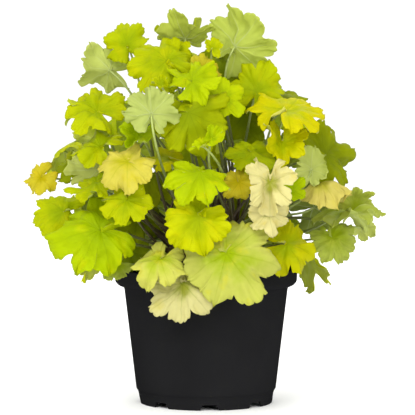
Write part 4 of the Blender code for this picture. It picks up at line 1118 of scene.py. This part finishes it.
def stalk_skin():
    """Leaf stalk: juicy, brown where it leaves the crown and pale green near the blade. The dark stretch
    along its lower three quarters is partly its own colour and partly painted shade, so that stalks inside
    the mound look shaded.
    """
    made, tree = new_material("leaf stalk, fresh")
    along = leaf_place(tree)[1]
    where = add(tree, "TexCoord").outputs["Object"]
    mottle = add(tree, "TexNoise", {
        "Vector": where, "Scale": every(3.846), "Detail": 3.0,
    }).outputs["Fac"]
    drift = add(tree, "Math", {0: mottle, 1: 0.25, 2: along}, operation="MULTIPLY_ADD").outputs[0]
    length = add(tree, "ValToRGB", {0: drift})
    ramp = length.color_ramp.elements
    # The dark brown and dull green stops are partly the stalk's own colour and partly painted shade for
    # stalks inside the mound.
    ramp[0].color, ramp[1].color = opaque(linear("#452c1c")), opaque(linear("#a3b05c"))
    ramp.new(0.35).color = opaque(linear("#4e4322"))
    ramp.new(0.75).color = opaque(linear("#68752e"))
    shader = add(tree, "BsdfPrincipled", {"Base Color": length.outputs[0], "Roughness": 0.5})
    return surfaced(made, thin(tree, 0.15, shader, Color=length.outputs[0]))


def hair_skin():
    """Leaf hair: glassy and colourless, so it shows as a pale fuzz."""
    made, tree = new_material("leaf hair, glassy")
    pale = opaque(linear("#b4ba86"))
    mottle = add(tree, "TexNoise", {"Scale": every(2.0)}).outputs["Fac"]
    rough = add(tree, "MapRange", {"Value": mottle, "To Min": 0.3, "To Max": 0.5}).outputs[0]
    shader = add(tree, "BsdfPrincipled", {"Base Color": pale, "Roughness": rough})
    return surfaced(made, thin(tree, 0.5, shader, Color=pale))


def smooth(mesh, angle=None):
    """Smooth shading, but for edges sharper than this angle where one is given."""
    mesh.polygons.foreach_set("use_smooth", [True] * len(mesh.polygons))
    if angle is not None:
        mesh.set_sharp_from_angle(angle=math.radians(angle))


def new_piece(name, points, faces, materials, which=None, node=None):
    """A piece of the plant from points in millimetres. It rides on the body and may stand for a
    solid; which gives each face its material."""
    mesh = bpy.data.meshes.new(name)
    mesh.from_pydata((np.asarray(points) * MM).tolist(), [], faces)
    for finish in materials:
        mesh.materials.append(finish)
    if which is not None:
        mesh.polygons.foreach_set("material_index", which)
    made = bpy.data.objects.new(name, mesh)
    bpy.context.scene.collection.objects.link(made)
    return join_part(made, node)


def join_part(made, node):
    """Ties a piece to the body, and hides the solid that it stands for."""
    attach(made, BODY)
    if node is not None:
        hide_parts(node)
    return made


def rounded(profile, radius, points=4):
    """The open outline with each corner turned into an arc of about this radius."""
    made = [profile[0]]
    for before, corner, after in zip(profile, profile[1:], profile[2:]):
        before, corner, after = (np.array(p, float) for p in (before, corner, after))
        back, on = before - corner, after - corner
        cut = min(radius, np.linalg.norm(back) * 0.45, np.linalg.norm(on) * 0.45)
        start, end = corner + unit(back) * cut, corner + unit(on) * cut
        for t in np.linspace(0, 1, points):
            made.append(tuple((1 - t) ** 2 * start + 2 * (1 - t) * t * corner + t**2 * end))
    return made + [profile[-1]]


class HEUCHERA_OT_pot(Operator):
    """Moulded nursery pot with a deep rim band, a parted foot ring and drain holes"""

    bl_idname = "heuchera.pot"
    bl_label = "Pot"

    def execute(self, context):
        settings = context.scene.heuchera_pot
        outline = rounded([
            (RIM_RADIUS - WALL - 0.3, RIM_TOP - 1.0),
            (RIM_RADIUS - WALL - 0.3, RIM_TOP),
            (RIM_RADIUS, RIM_TOP),
            (RIM_RADIUS - 0.5, BAND_BOTTOM),
            (RIM_RADIUS - 2.6, BAND_BOTTOM - 2.6),
            (NECK_RADIUS + 0.6, NECK_HEIGHT + 0.3),
            (NECK_RADIUS, NECK_HEIGHT - 1.4),
            (FOOT_SHOULDER_RADIUS, FOOT_SHOULDER_HEIGHT),
            (FOOT_SHOULDER_RADIUS - 1.3, FOOT_SHOULDER_HEIGHT - 1.9),
            (FOOT_RADIUS + 1.5, FOOT_SHOULDER_HEIGHT - 2.5),
            (FOOT_RADIUS + 0.9, FOOT_SHOULDER_HEIGHT - 4.0),
            (FOOT_RADIUS, 0.4),
            (FOOT_RADIUS - 0.4, 0.0),
            (FOOT_RADIUS - FOOT_WALL + 0.4, 0.0),
            (FOOT_RADIUS - FOOT_WALL, 0.4),
            (FOOT_RADIUS - FOOT_WALL, FLOOR_UNDERSIDE),
            (0.0, FLOOR_UNDERSIDE),
        ], 0.9)
        outline += rounded([
            (0.0, FLOOR_TOP),
            (FOOT_SHOULDER_RADIUS - WALL - 1.6, FLOOR_TOP),
            (FOOT_SHOULDER_RADIUS - WALL, FOOT_SHOULDER_HEIGHT),
            (NECK_RADIUS - WALL, NECK_HEIGHT + 0.4),
            (RIM_RADIUS - WALL - 0.9, BAND_BOTTOM + 0.4),
            (RIM_RADIUS - WALL - 0.3, RIM_TOP - 1.2),
        ], 1.6)
        mesh = bpy.data.meshes.new("nursery_pot")
        points = [(r * MM, 0, z * MM) for r, z in outline]
        mesh.from_pydata(points, [(i, (i + 1) % len(points)) for i in range(len(points))], [])
        mesh.materials.append(polypropylene(settings))
        pot = bpy.data.objects.new("nursery_pot", mesh)
        context.scene.collection.objects.link(pot)
        turn = pot.modifiers.new("Turn", "SCREW")
        turn.steps = turn.render_steps = settings.sides
        turn.use_merge_vertices = True
        turn.merge_threshold = MERGE * MM
        cutters = [self.notch(i) for i in range(NOTCHES)] + [self.drain(i) for i in range(NOTCHES)]
        home = bpy.data.collections.new("cutters")
        for cutter in cutters:
            home.objects.link(cutter)
        cut = pot.modifiers.new("Cut", "BOOLEAN")
        cut.operation, cut.operand_type, cut.collection = "DIFFERENCE", "COLLECTION", home
        seen = pot.evaluated_get(context.evaluated_depsgraph_get())
        pot.data = bpy.data.meshes.new_from_object(seen)
        pot.modifiers.clear()
        for cutter in cutters:
            bpy.data.objects.remove(cutter)
        bpy.data.collections.remove(home)
        smooth(pot.data, 32)
        join_part(pot, "pot")
        return {"FINISHED"}

    @staticmethod
    def way(number):
        """The turn of a foot notch or drain hole round the axis, and the way out to it."""
        turn = math.radians(NOTCH_TURN + 360 * number / NOTCHES - 90)
        return turn, np.array((math.cos(turn), math.sin(turn), 0.0))

    @staticmethod
    def cutter(name, net, place):
        """An object of this net, which is used up."""
        mesh = bpy.data.meshes.new(name)
        net.to_mesh(mesh)
        net.free()
        made = bpy.data.objects.new(name, mesh)
        made.matrix_world = place
        return made

    def notch(self, number):
        """A wedge that is wider at the floor than at its top."""
        turn, out = self.way(number)
        net = bmesh.new()
        bmesh.ops.create_cube(net, size=1)
        for corner in net.verts:
            half = NOTCH_WIDTH / 2 + NOTCH_SPLAY[corner.co.z > 0]
            corner.co.x *= 4 * FOOT_WALL * MM
            corner.co.y = math.copysign(half, corner.co.y) * MM
            corner.co.z *= 2 * NOTCH_HEIGHT * MM
        place = Matrix.Translation(out * FOOT_RADIUS * MM) @ Matrix.Rotation(turn, 4, "Z")
        return self.cutter("notch", net, place)

    def drain(self, number):
        """A round hole through the floor."""
        radius = DRAIN_RADIUS * MM
        net = bmesh.new()
        bmesh.ops.create_cone(
            net, cap_ends=True, segments=DRAIN_SIDES, radius1=radius, radius2=radius, depth=8 * MM
        )
        place = self.way(number)[1] * DRAIN_CIRCLE + UP * (FLOOR_UNDERSIDE + FLOOR_TOP) / 2
        return self.cutter("drain", net, Matrix.Translation(place * MM))


def soil_height(x, y):
    """Height of the plain soil, heaped toward the plant and a little uneven."""
    away = math.hypot(x, y) / NECK_RADIUS
    rough = math.sin(0.31 * x + 1.7) * math.cos(0.27 * y) + 0.6 * math.sin(0.13 * x - 0.37 * y)
    return SOIL_TOP + SOIL_HEAP * (1 - away) + SOIL_ROUGHNESS * rough


def crumb_net(draw, size, flat):
    """A lumpy grain: (points, faces)."""
    net = bmesh.new()
    bmesh.ops.create_icosphere(net, subdivisions=1, radius=size)
    stretch = np.array((draw.uniform(0.7, 1.4), draw.uniform(0.7, 1.2), flat))
    points = np.array([corner.co for corner in net.verts]) * stretch
    points *= draw.uniform(0.75, 1.2, (len(points), 1))
    faces = [[corner.index for corner in face.verts] for face in net.faces]
    net.free()
    turn = Matrix.Rotation(draw.uniform(0, 6.3), 3, "Z")
    lean = Matrix.Rotation(draw.uniform(-0.5, 0.5), 3, "X")
    return points @ np.array(turn @ lean), faces


class HEUCHERA_OT_soil(Operator):
    """Peat with loose crumbs, bark and perlite on its surface"""

    bl_idname = "heuchera.soil"
    bl_label = "Soil"

    def execute(self, context):
        settings = context.scene.heuchera_soil
        finish = peat(settings)
        edge = NECK_RADIUS + (RIM_RADIUS - NECK_RADIUS) * SOIL_EDGE_SHARE - WALL - FIT_GAP
        floor_radius = FOOT_SHOULDER_RADIUS - WALL - 1.6 - FIT_GAP - 0.4
        pocket_floor = SOIL_TOP - POCKET_DEPTH
        radii = np.linspace(POCKET_RADIUS, edge - 0.8, SOIL_RINGS)
        rings = [(POCKET_RADIUS - 0.5, pocket_floor)] + [(r, None) for r in radii]
        rings += [
            (NECK_RADIUS - WALL - FIT_GAP - 0.5, SOIL_TOP - 5.5),
            (FOOT_SHOULDER_RADIUS - WALL - FIT_GAP - 0.4, FOOT_SHOULDER_HEIGHT),
            (floor_radius, FLOOR_TOP + FIT_GAP),
        ]
        sides = settings.sides
        points = [(0, 0, pocket_floor)]
        for radius, height in rings:
            for k in range(sides):
                turn = 2 * math.pi * k / sides
                x, y = radius * math.cos(turn), radius * math.sin(turn)
                points.append((x, y, self.height(x, y) if height is None else height))
        points.append((0, 0, FLOOR_TOP + FIT_GAP))
        last = len(points) - 1
        faces = []
        for k in range(sides):
            follow = (k + 1) % sides
            faces.append((0, 1 + k, 1 + follow))
            for ring in range(len(rings) - 1):
                a, b = 1 + ring * sides + k, 1 + ring * sides + follow
                faces.append((a, a + sides, b + sides, b))
            base = 1 + (len(rings) - 1) * sides
            faces.append((base + k, last, base + follow))
        soil = new_piece("peat_soil", points, faces, [finish], node="soil")
        smooth(soil.data, 50)
        self.scatter(settings, finish)
        return {"FINISHED"}

    @staticmethod
    def height(x, y):
        """The plain soil's height, with lumps six and two millimetres across."""
        rough = noise.noise(Vector((x * 0.16, y * 0.16, 3.1))) * 1.3
        fine = noise.noise(Vector((x * 0.55, y * 0.55, 8.7))) * 0.8
        return soil_height(x, y) + rough + fine

    def scatter(self, settings, finish):
        """Loose crumbs of peat, chips of bark and grains of perlite, sunk a little into the soil."""
        draw = np.random.default_rng(SOIL_SEED)
        points, faces, which = [], [], []
        for number in range(settings.crumbs):
            away = math.sqrt(draw.uniform(POCKET_RADIUS**2, (NECK_RADIUS - 2) ** 2))
            turn = draw.uniform(0, 2 * math.pi)
            x, y = away * math.cos(turn), away * math.sin(turn)
            kind = 1 if number % PERLITE_EVERY == 0 else (2 if number % BARK_EVERY == 0 else 0)
            size = [draw.uniform(*grain.sizes) for grain in GRAINS][kind]
            net, net_faces = crumb_net(draw, size, GRAINS[kind].height)
            net = net + np.array((x, y, self.height(x, y) + size * GRAIN_LIFT))
            faces += [[len(points) + i for i in face] for face in net_faces]
            which += [kind] * len(net_faces)
            points += net.tolist()
        chips = bark(bpy.context.scene.heuchera_crown)
        crumbs = new_piece(
            "peat_crumbs", points, faces, [finish, perlite(settings), chips], which
        )
        smooth(crumbs.data, 40)


class Netting:
    """Gathers several closed nets into one mesh, with each point's place for the finish."""

    def __init__(self):
        self.points, self.faces, self.which, self.places = [], [], [], []
        self.count = 0

    def add(self, points, faces, which, places):
        """Takes in a net. which is one material for all its faces, or one for each."""
        points = np.asarray(points)
        self.faces += [tuple(self.count + i for i in face) for face in faces]
        self.which += [which] * len(faces) if isinstance(which, int) else list(which)
        self.points.append(points)
        self.places.append(np.broadcast_to(places, points.shape))
        self.count += len(points)

    def piece(self, name, materials, node, angle=None):
        """The piece made of all the nets."""
        made = new_piece(name, np.concatenate(self.points), self.faces, materials, self.which, node)
        place = made.data.attributes.new("place", "FLOAT_VECTOR", "POINT")
        place.data.foreach_set("vector", np.concatenate(self.places).astype(np.float32).ravel())
        smooth(made.data, angle)
        return made


def closed_tube(line, radii, sides):
    """A tube with a point at the middle of each end."""
    rings = tube_rings(np.asarray(line)[None], np.asarray(radii), sides)[0]
    faces = tube_faces(len(line), sides)
    start, end = len(rings), len(rings) + 1
    last = (len(line) - 1) * sides
    for k in range(sides):
        follow = (k + 1) % sides
        faces += [(start, follow, k), (end, last + k, last + follow)]
    return np.concatenate((rings, [line[0], line[-1]])), faces


class HEUCHERA_OT_crown(Operator):
    """Woody crown: ringed stems on a stump, with dry sheaths"""

    bl_idname = "heuchera.crown"
    bl_label = "Crown"

    def execute(self, context):
        settings = context.scene.heuchera_crown
        draw = np.random.default_rng(CROWN_SEED)
        net = Netting()
        places, sides, rough = STUMP_SKIN
        heights = np.linspace(0, 1, places)
        line = UP * (SOIL_TOP - POCKET_DEPTH + FIT_GAP + STUMP_HEIGHT * heights)[:, None]
        radii = np.interp(heights, (0, 0.35, 0.72, 1), (0.82, 1.0, 0.94, 0.6)) * STUMP_RADIUS
        self.trunk(net, line, radii, sides, rough)
        places, sides, rough = STEM_SKIN
        along = np.linspace(0, 1, places)
        radii = (STEM_RADIUS[0], sum(STEM_RADIUS) / 2, STEM_RADIUS[1], STEM_TOP_RADIUS)
        radii = np.interp(along, (0, 0.5, 0.92, 1), radii)
        for low, high in stem_lines():
            self.trunk(net, low + (high - low) * along[:, None], radii, sides, rough)
            self.scales(net, draw, low, high)
        net.piece("woody_crown", [bark(settings), dry_sheath(settings)], "crown", 55)
        return {"FINISHED"}

    @staticmethod
    def trunk(net, line, radii, sides, rough):
        """A stem whose skin is ringed and cracked by noise."""
        points, faces = closed_tube(line, radii, sides)
        axis = np.repeat(line, sides, axis=0)
        for i, spot in enumerate(points[:-2]):
            ring = noise.noise(Vector((spot[0] * 0.12, spot[1] * 0.12, spot[2] * 0.9)))
            lump = noise.noise(Vector(spot * 0.35))
            points[i] = spot + unit(spot - axis[i]) * (ring + lump) * rough
        net.add(points, faces, 0, (0, 0, 0))

    @staticmethod
    def scales(net, draw, low, high):
        """Dry bases of old leaves that clasp the stem, a pointed scale for each."""
        axis = unit(high - low)
        side = unit(np.cross(axis, (0.2, 1.0, 0.1)))
        other = np.cross(axis, side)
        faces = []
        for row in range(SCALE_ROWS - 1):
            for column in range(SCALE_COLUMNS - 1):
                a = row * SCALE_COLUMNS + column
                c = a + SCALE_COLUMNS + 1
                faces += [(a, a + 1, c), (a, c, c - 1)]
        for number in range(SCALES_A_STEM):
            share = 0.1 + 0.85 * number / SCALES_A_STEM
            radius = STEM_RADIUS[0] + (STEM_RADIUS[1] - STEM_RADIUS[0]) * share
            turn = number * GOLDEN_TURN + draw.uniform(-0.4, 0.4)
            length = draw.uniform(*SCALE_LENGTH)
            lean = draw.uniform(*SCALE_LEAN)
            grid = []
            for v in np.linspace(0, 1, SCALE_ROWS):
                for u in np.linspace(-1, 1, SCALE_COLUMNS):
                    around = turn + u * 0.75 * (1 - v**1.6)
                    out = side * math.cos(around) + other * math.sin(around)
                    away = radius + 0.25 + lean * v * length - 0.3 * u * u * v
                    grid.append(low + (high - low) * share + axis * v * length * 0.9 + out * away)
            net.add(*thickened(grid, faces, SCALE_HALF_THICKNESS), 1, (0, 0, 0))


def on_vein(across):
    """1 for points on a lobe's main vein and 0 for the others."""
    return (np.abs(across) < 1e-6) * 1.0


def fine_relief(leaf, across, shares):
    """Height over the smooth blade: pillows between the side veins, and the main veins pressed in."""
    scale = leaf.reach / RELIEF_REACH
    along = shares - SIDE_VEIN_SLANT * np.abs(across)
    pillow = np.abs(np.sin(math.pi * SIDE_VEINS * along)) ** 0.8
    inside = np.clip(shares / 0.3, 0, 1) * np.clip((1.04 - shares) / 0.2, 0, 1)
    height = QUILT * scale * pillow * inside
    return height - VEIN_SINK * scale * on_vein(across) * np.sqrt(np.clip(1.02 - shares, 0, 1))


def billows(leaf, flat):
    """Soft folds a centimetre or two long, where the blade grew faster than its veins."""
    spots = flat * FOLDS_A_MM + leaf.seed * 3.7
    wide = np.array([noise.noise(Vector(spot)) for spot in spots])
    narrow = np.array([noise.noise(Vector(spot * 2.6)) for spot in spots])
    return (wide + 0.35 * narrow) * BILLOW * 2


def cut_edge(lobes, steps, shares, draw):
    """How the fine edge departs from the plain outline: fuller lobes with a narrow notch between
    them, and small round teeth in the place of the plain ones."""
    part = steps % 1 - 0.5
    aside = 2 * np.abs(part)
    cuts = draw.uniform(*NOTCH_CUT, lobes + 1)
    cuts[[0, -1]] = NOTCH_CUT[0]
    narrow = np.exp(-(((0.5 - np.abs(part)) / NOTCH_WIDTH_SHARE) ** 1.3))
    notch = cuts[np.round(steps).astype(int)] * narrow
    plain = TOOTH * (np.abs(np.cos(math.pi * TEETH_A_LOBE * part)) - 0.5)
    teeth = SMALL_TOOTH * (np.abs(np.cos(math.pi * SMALL_TEETH * part)) ** 0.6 - 0.7)
    outline = 1 + (FULLER * aside**4 - notch) * shares**2
    return outline * (1 + (teeth - plain) * shares**4)


def eased_curl(leaf, steps, shares):
    """Shares each lobe's curl with the rim on either side, so that the blade bows as a whole, and
    flattens the plain blade's pleats."""
    curls = chances(leaf)[2]
    even = np.interp(steps, np.arange(len(curls)) + 0.5, curls) / 2
    own = curls[steps.astype(int)] * np.cos(math.pi * (steps % 1 - 0.5)) ** 2
    folds = FLAT_PLEAT * HABITS[leaf.habit].pleat * shares * np.cos(2 * math.pi * (steps % 1 - 0.5)) / 2
    return leaf.reach * (EVEN_CURL * shares**3 * (even - own) + folds)


def frill(leaf, steps, shares, draw):
    """Height of the waves along the edge."""
    turns = draw.uniform(0, 2 * math.pi, len(FRILL_RATES))
    wave = sum(
        np.sin(2 * math.pi * steps * rate + turn) / rate**0.4 for rate, turn in zip(FRILL_RATES, turns)
    )
    return FRILL * leaf.reach * shares**4 * wave


def upper_normals(centre, grid):
    """The way up at each point of the blade's rings."""
    around = np.roll(grid, -1, axis=1) - np.roll(grid, 1, axis=1)
    inward = np.concatenate((np.broadcast_to(centre, (1, *grid.shape[1:])), grid[:-1]))
    outward = np.concatenate((grid[1:], grid[-1:]))
    normals = np.cross(around, outward - inward)
    normals /= np.maximum(np.linalg.norm(normals, axis=2, keepdims=True), 1e-9)
    flip = np.sign(normals[:, :, 2].mean()) or 1.0
    return (normals * flip).reshape(-1, 3)


def shell_faces(rings, columns):
    """The upper side, the lower side and the edge of a blade: (faces, material of each face)."""
    j = np.arange(columns)
    k = (j + 1) % columns
    faces = np.stack((np.zeros_like(j), 1 + k, 1 + j), axis=1).tolist()
    first = 1 + np.arange(rings - 1)[:, None] * columns
    a, b = (first + j).ravel(), (first + k).ravel()
    faces += np.stack((a, b, b + columns, a + columns), axis=1).tolist()
    side = 1 + rings * columns
    below = [[side + i for i in reversed(face)] for face in faces]
    rim = 1 + (rings - 1) * columns
    edge = np.stack((rim + j, rim + k, side + rim + k, side + rim + j), axis=1).tolist()
    return faces + below + edge, [0] * len(faces) + [1] * len(below) + [0] * len(edge)


def fine_blade(leaf, settings, tone):
    """The blade as a closed shell: (points, faces, material of each face, place of each point)."""
    lobes = HABITS[leaf.habit].lobes
    detail = 1.0 if leaf.reach > SMALL_REACH else SMALL_DETAIL
    each = 2 * SMALL_TEETH * round(settings.columns * detail / (2 * SMALL_TEETH))
    columns, rings = lobes * each, round(settings.rings * detail)
    draw = np.random.default_rng(EDGE_SEEDS + leaf.seed)
    steps = np.tile(np.arange(columns) / each, rings)
    shares = np.repeat((np.arange(rings) + 1) / rings, columns)
    across = 2 * ((steps % 1) - 0.5)
    flat = blade_points(leaf, steps, shares * cut_edge(lobes, steps, shares, draw))
    centre = blade_points(leaf, np.array([lobes / 2]), np.array([0.0]))
    normals = upper_normals(centre, flat.reshape(rings, columns, 3))
    lift = fine_relief(leaf, across, shares) + frill(leaf, steps, shares, draw)
    lift = lift + billows(leaf, flat) * np.clip(shares * 2, 0, 1)
    lift = lift + eased_curl(leaf, steps, shares)
    middle = settings.thickness / MM
    half = (EDGE_THICKNESS + (middle - EDGE_THICKNESS) * (1 - shares**2)) / 2
    rib = VEIN_RIB * on_vein(across) * (1 - shares) ** 0.8 + THICKER_INSIDE * (1 - shares)
    upper = flat + normals * (lift + half)[:, None]
    lower = flat + normals * (lift - half - rib)[:, None]
    top = centre + UP * (middle / 2 - VEIN_SINK * 0.6)
    bottom = centre - UP * (middle / 2 + VEIN_RIB * 0.8)
    points = in_place(leaf, np.concatenate((top, upper, bottom, lower)))
    place = np.stack((across, shares, np.full_like(shares, tone)), axis=1)
    place = np.concatenate(([[0, 0, tone]], place, [[0, 0, tone]], place))
    return points, *shell_faces(rings, columns), place


def fine_stalk(line):
    """More points of the same cubic, and their radii."""
    t = np.linspace(0, 1, len(line))
    cubic = np.polyfit(t, line, 3)
    u = np.linspace(0, 1, STALK_PLACES)
    path = np.stack([np.polyval(cubic[:, axis], u) for axis in range(3)], axis=1)
    return path, np.interp(u, *STALK_TAPER)


def stalk_hairs(net, line, radii, count, draw):
    """Short slim hairs that stand out from the stalk."""
    ahead = np.gradient(line, axis=0)
    ahead /= np.linalg.norm(ahead, axis=1, keepdims=True)
    last = len(line) - 1
    for _ in range(count):
        at = draw.uniform(0.1, 0.97) * last
        low = int(at)
        spot = line[low] + (line[min(low + 1, last)] - line[low]) * (at - low)
        axis = ahead[low]
        side = unit(np.cross(axis, (0.31, 0.17, 0.93)))
        turn = draw.uniform(0, 2 * math.pi)
        out = side * math.cos(turn) + np.cross(axis, side) * math.sin(turn)
        way = unit(out + axis * draw.uniform(-0.4, 0.6))
        root = spot + out * radii[low] * HAIR_ROOT
        tip = root + way * draw.uniform(*HAIR_LENGTH)
        broad = np.cross(way, axis)
        deep = unit(np.cross(way, broad)) * HAIR_FOOT
        broad = broad * HAIR_FOOT
        corners = (root + broad, root - broad / 2 + deep, root - broad / 2 - deep, tip)
        net.add(corners, [(0, 1, 2), (0, 3, 1), (1, 3, 2), (2, 3, 0)], 3, (0, 1, 0))


class HEUCHERA_OT_leaves(Operator):
    """Every leaf: a lobed, veined blade with its hairy stalk, in the place of its solid"""

    bl_idname = "heuchera.leaves"
    bl_label = "Leaves"

    def execute(self, context):
        settings = context.scene.heuchera_leaves
        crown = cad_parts["crown"]
        points = np.array([corner.co for corner in crown.data.vertices]) / MM
        wood = tree_of(points, [tuple(face.vertices) for face in crown.data.polygons])
        placed = place_leaves(leaves_seen() + leaves_behind(), obstacles(wood))
        skins = {name: self.skins(settings, name) for name in TINTS}
        shared = [stalk_skin(), hair_skin()]
        for name in dict.fromkeys(leaf.name for leaf, line in placed):
            shoot = [(leaf, line) for leaf, line in placed if leaf.name == name]
            self.check_place(name, shoot)
            net = Netting()
            for leaf, line in shoot:
                self.leaf(net, leaf, line, settings)
            materials = [*skins[shoot[0][0].tint], *shared]
            net.piece(name.replace("leaf_", "fine_leaf_"), materials, name)
        return {"FINISHED"}

    @staticmethod
    def skins(settings, name):
        """The finishes of a blade's upper side and lower side."""
        upper = TINTS[name]
        lower = upper._replace(centre=upper.under, vein=UNDER_VEIN, glow=upper.under)
        edge, edge_below = getattr(settings, name), linear(upper.under)
        return (
            blade_skin(upper.title + ", upper side", edge, upper, settings.passing, VEINS_PRESSED),
            blade_skin(upper.title + ", lower side", edge_below, lower, settings.passing, VEINS_RAISED),
        )

    @staticmethod
    def check_place(name, shoot):
        """The rule has to give each leaf where its solid is."""
        nets = np.concatenate([blade_net(leaf)[0] for leaf, line in shoot] + [line for leaf, line in shoot])
        low, high = (np.array(corner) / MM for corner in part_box(name))
        off = max(np.abs(nets.min(axis=0) - low).max(), np.abs(nets.max(axis=0) - high).max())
        if off > SAME_PLACE:
            raise RuntimeError(f"{name} lies {off:.1f} mm from its solid")

    @staticmethod
    def leaf(net, leaf, line, settings):
        """The fine blade with its stalk and hairs, added to the net."""
        draw = np.random.default_rng(TONE_SEEDS + leaf.seed)
        tone = draw.uniform(-1, 1)
        net.add(*fine_blade(leaf, settings, tone))
        path, radii = fine_stalk(line)
        path[-1] = path[-1] - leaf.normal * STALK_SUNK
        tube, faces = closed_tube(path, radii, STALK_SIDES)
        places = np.zeros((len(tube), 3))
        places[:-2, 1] = np.repeat(np.linspace(0, 1, len(path)), STALK_SIDES)
        places[-1, 1] = 1
        net.add(tube, faces, 2, places)
        stalk_hairs(net, path, radii, settings.hairs, draw)


class HEUCHERA_OT_stage(Operator):
    """Pale floor, soft studio lights and the camera"""

    bl_idname = "heuchera.stage"
    bl_label = "Stage"

    def execute(self, context):
        settings = context.scene.heuchera_stage
        self.floor()
        for name, place, size, power in LIGHTS:
            self.light(name, place, size, getattr(settings, power))
        world = bpy.data.worlds.new("white surround")
        world.use_nodes = True
        sky = world.node_tree.nodes["Background"]
        sky.inputs["Color"].default_value = (1, 1, 1, 1)
        sky.inputs["Strength"].default_value = settings.sky
        context.scene.world = world
        context.scene.view_settings.view_transform = "Standard"
        self.camera(context, settings)
        return {"FINISHED"}

    @staticmethod
    def floor():
        """A pale floor so wide that its end can't be seen."""
        mesh = bpy.data.meshes.new("studio_floor")
        corners = [(x * FLOOR_HALF, y * FLOOR_HALF, 0.0) for x, y in ((-1, -1), (1, -1), (1, 1), (-1, 1))]
        mesh.from_pydata(corners, [], [(0, 1, 2, 3)])
        made, tree = new_material("studio paper, white")
        mesh.materials.append(surfaced(made, add(tree, "BsdfPrincipled", {
            "Base Color": opaque(linear("#fbfbfa")), "Roughness": 0.9, "Specular IOR Level": 0.1,
        })))
        floor = bpy.data.objects.new("studio_floor", mesh)
        bpy.context.scene.collection.objects.link(floor)

    @staticmethod
    def light(name, place, size, power):
        """A round soft light that faces the plant."""
        lamp = bpy.data.lights.new(name, "AREA")
        lamp.shape = "DISK"
        lamp.size = size
        lamp.energy = power
        made = bpy.data.objects.new(name, lamp)
        made.location = place
        aim = Vector(LIT_POINT) - Vector(place)
        made.rotation_euler = aim.to_track_quat("-Z", "Y").to_euler()
        bpy.context.scene.collection.objects.link(made)

    @staticmethod
    def camera(context, settings):
        """The camera stands 2.5 m in front and looks down a little."""
        lens = bpy.data.cameras.new("camera")
        lens.sensor_width = SENSOR_WIDTH
        lens.lens = settings.lens
        made = bpy.data.objects.new("camera", lens)
        eye, target = Vector(EYE * MM), Vector(SEEN_POINT)
        made.location = eye
        made.rotation_euler = (target - eye).to_track_quat("-Z", "Y").to_euler()
        context.scene.collection.objects.link(made)
        context.scene.camera = made


class HEUCHERA_PT_panel(Panel):
    """Lists the plant's pieces in the sidebar"""

    bl_idname = "HEUCHERA_PT_panel"
    bl_label = "Heuchera"
    bl_space_type = "VIEW_3D"
    bl_region_type = "UI"
    bl_category = "Heuchera"

    def draw(self, context):
        for operator in OPERATORS:
            self.layout.operator(operator.bl_idname)


GROUPS = {
    "heuchera_pot": HeucheraPot,
    "heuchera_soil": HeucheraSoil,
    "heuchera_crown": HeucheraCrown,
    "heuchera_leaves": HeucheraLeaves,
    "heuchera_stage": HeucheraStage,
}
OPERATORS = (
    HEUCHERA_OT_pot,
    HEUCHERA_OT_soil,
    HEUCHERA_OT_crown,
    HEUCHERA_OT_leaves,
    HEUCHERA_OT_stage,
)


def register():
    for name, group in GROUPS.items():
        bpy.utils.register_class(group)
        setattr(bpy.types.Scene, name, PointerProperty(type=group))
    for operator in OPERATORS:
        bpy.utils.register_class(operator)
    bpy.utils.register_class(HEUCHERA_PT_panel)


def unregister():
    bpy.utils.unregister_class(HEUCHERA_PT_panel)
    for operator in reversed(OPERATORS):
        bpy.utils.unregister_class(operator)
    for name, group in GROUPS.items():
        delattr(bpy.types.Scene, name)
        bpy.utils.unregister_class(group)


def main():
    register()
    bpy.ops.heuchera.stage()
    bpy.ops.heuchera.pot()
    bpy.ops.heuchera.soil()
    bpy.ops.heuchera.crown()
    bpy.ops.heuchera.leaves()
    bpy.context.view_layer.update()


if __name__ == "__main__":
    main()
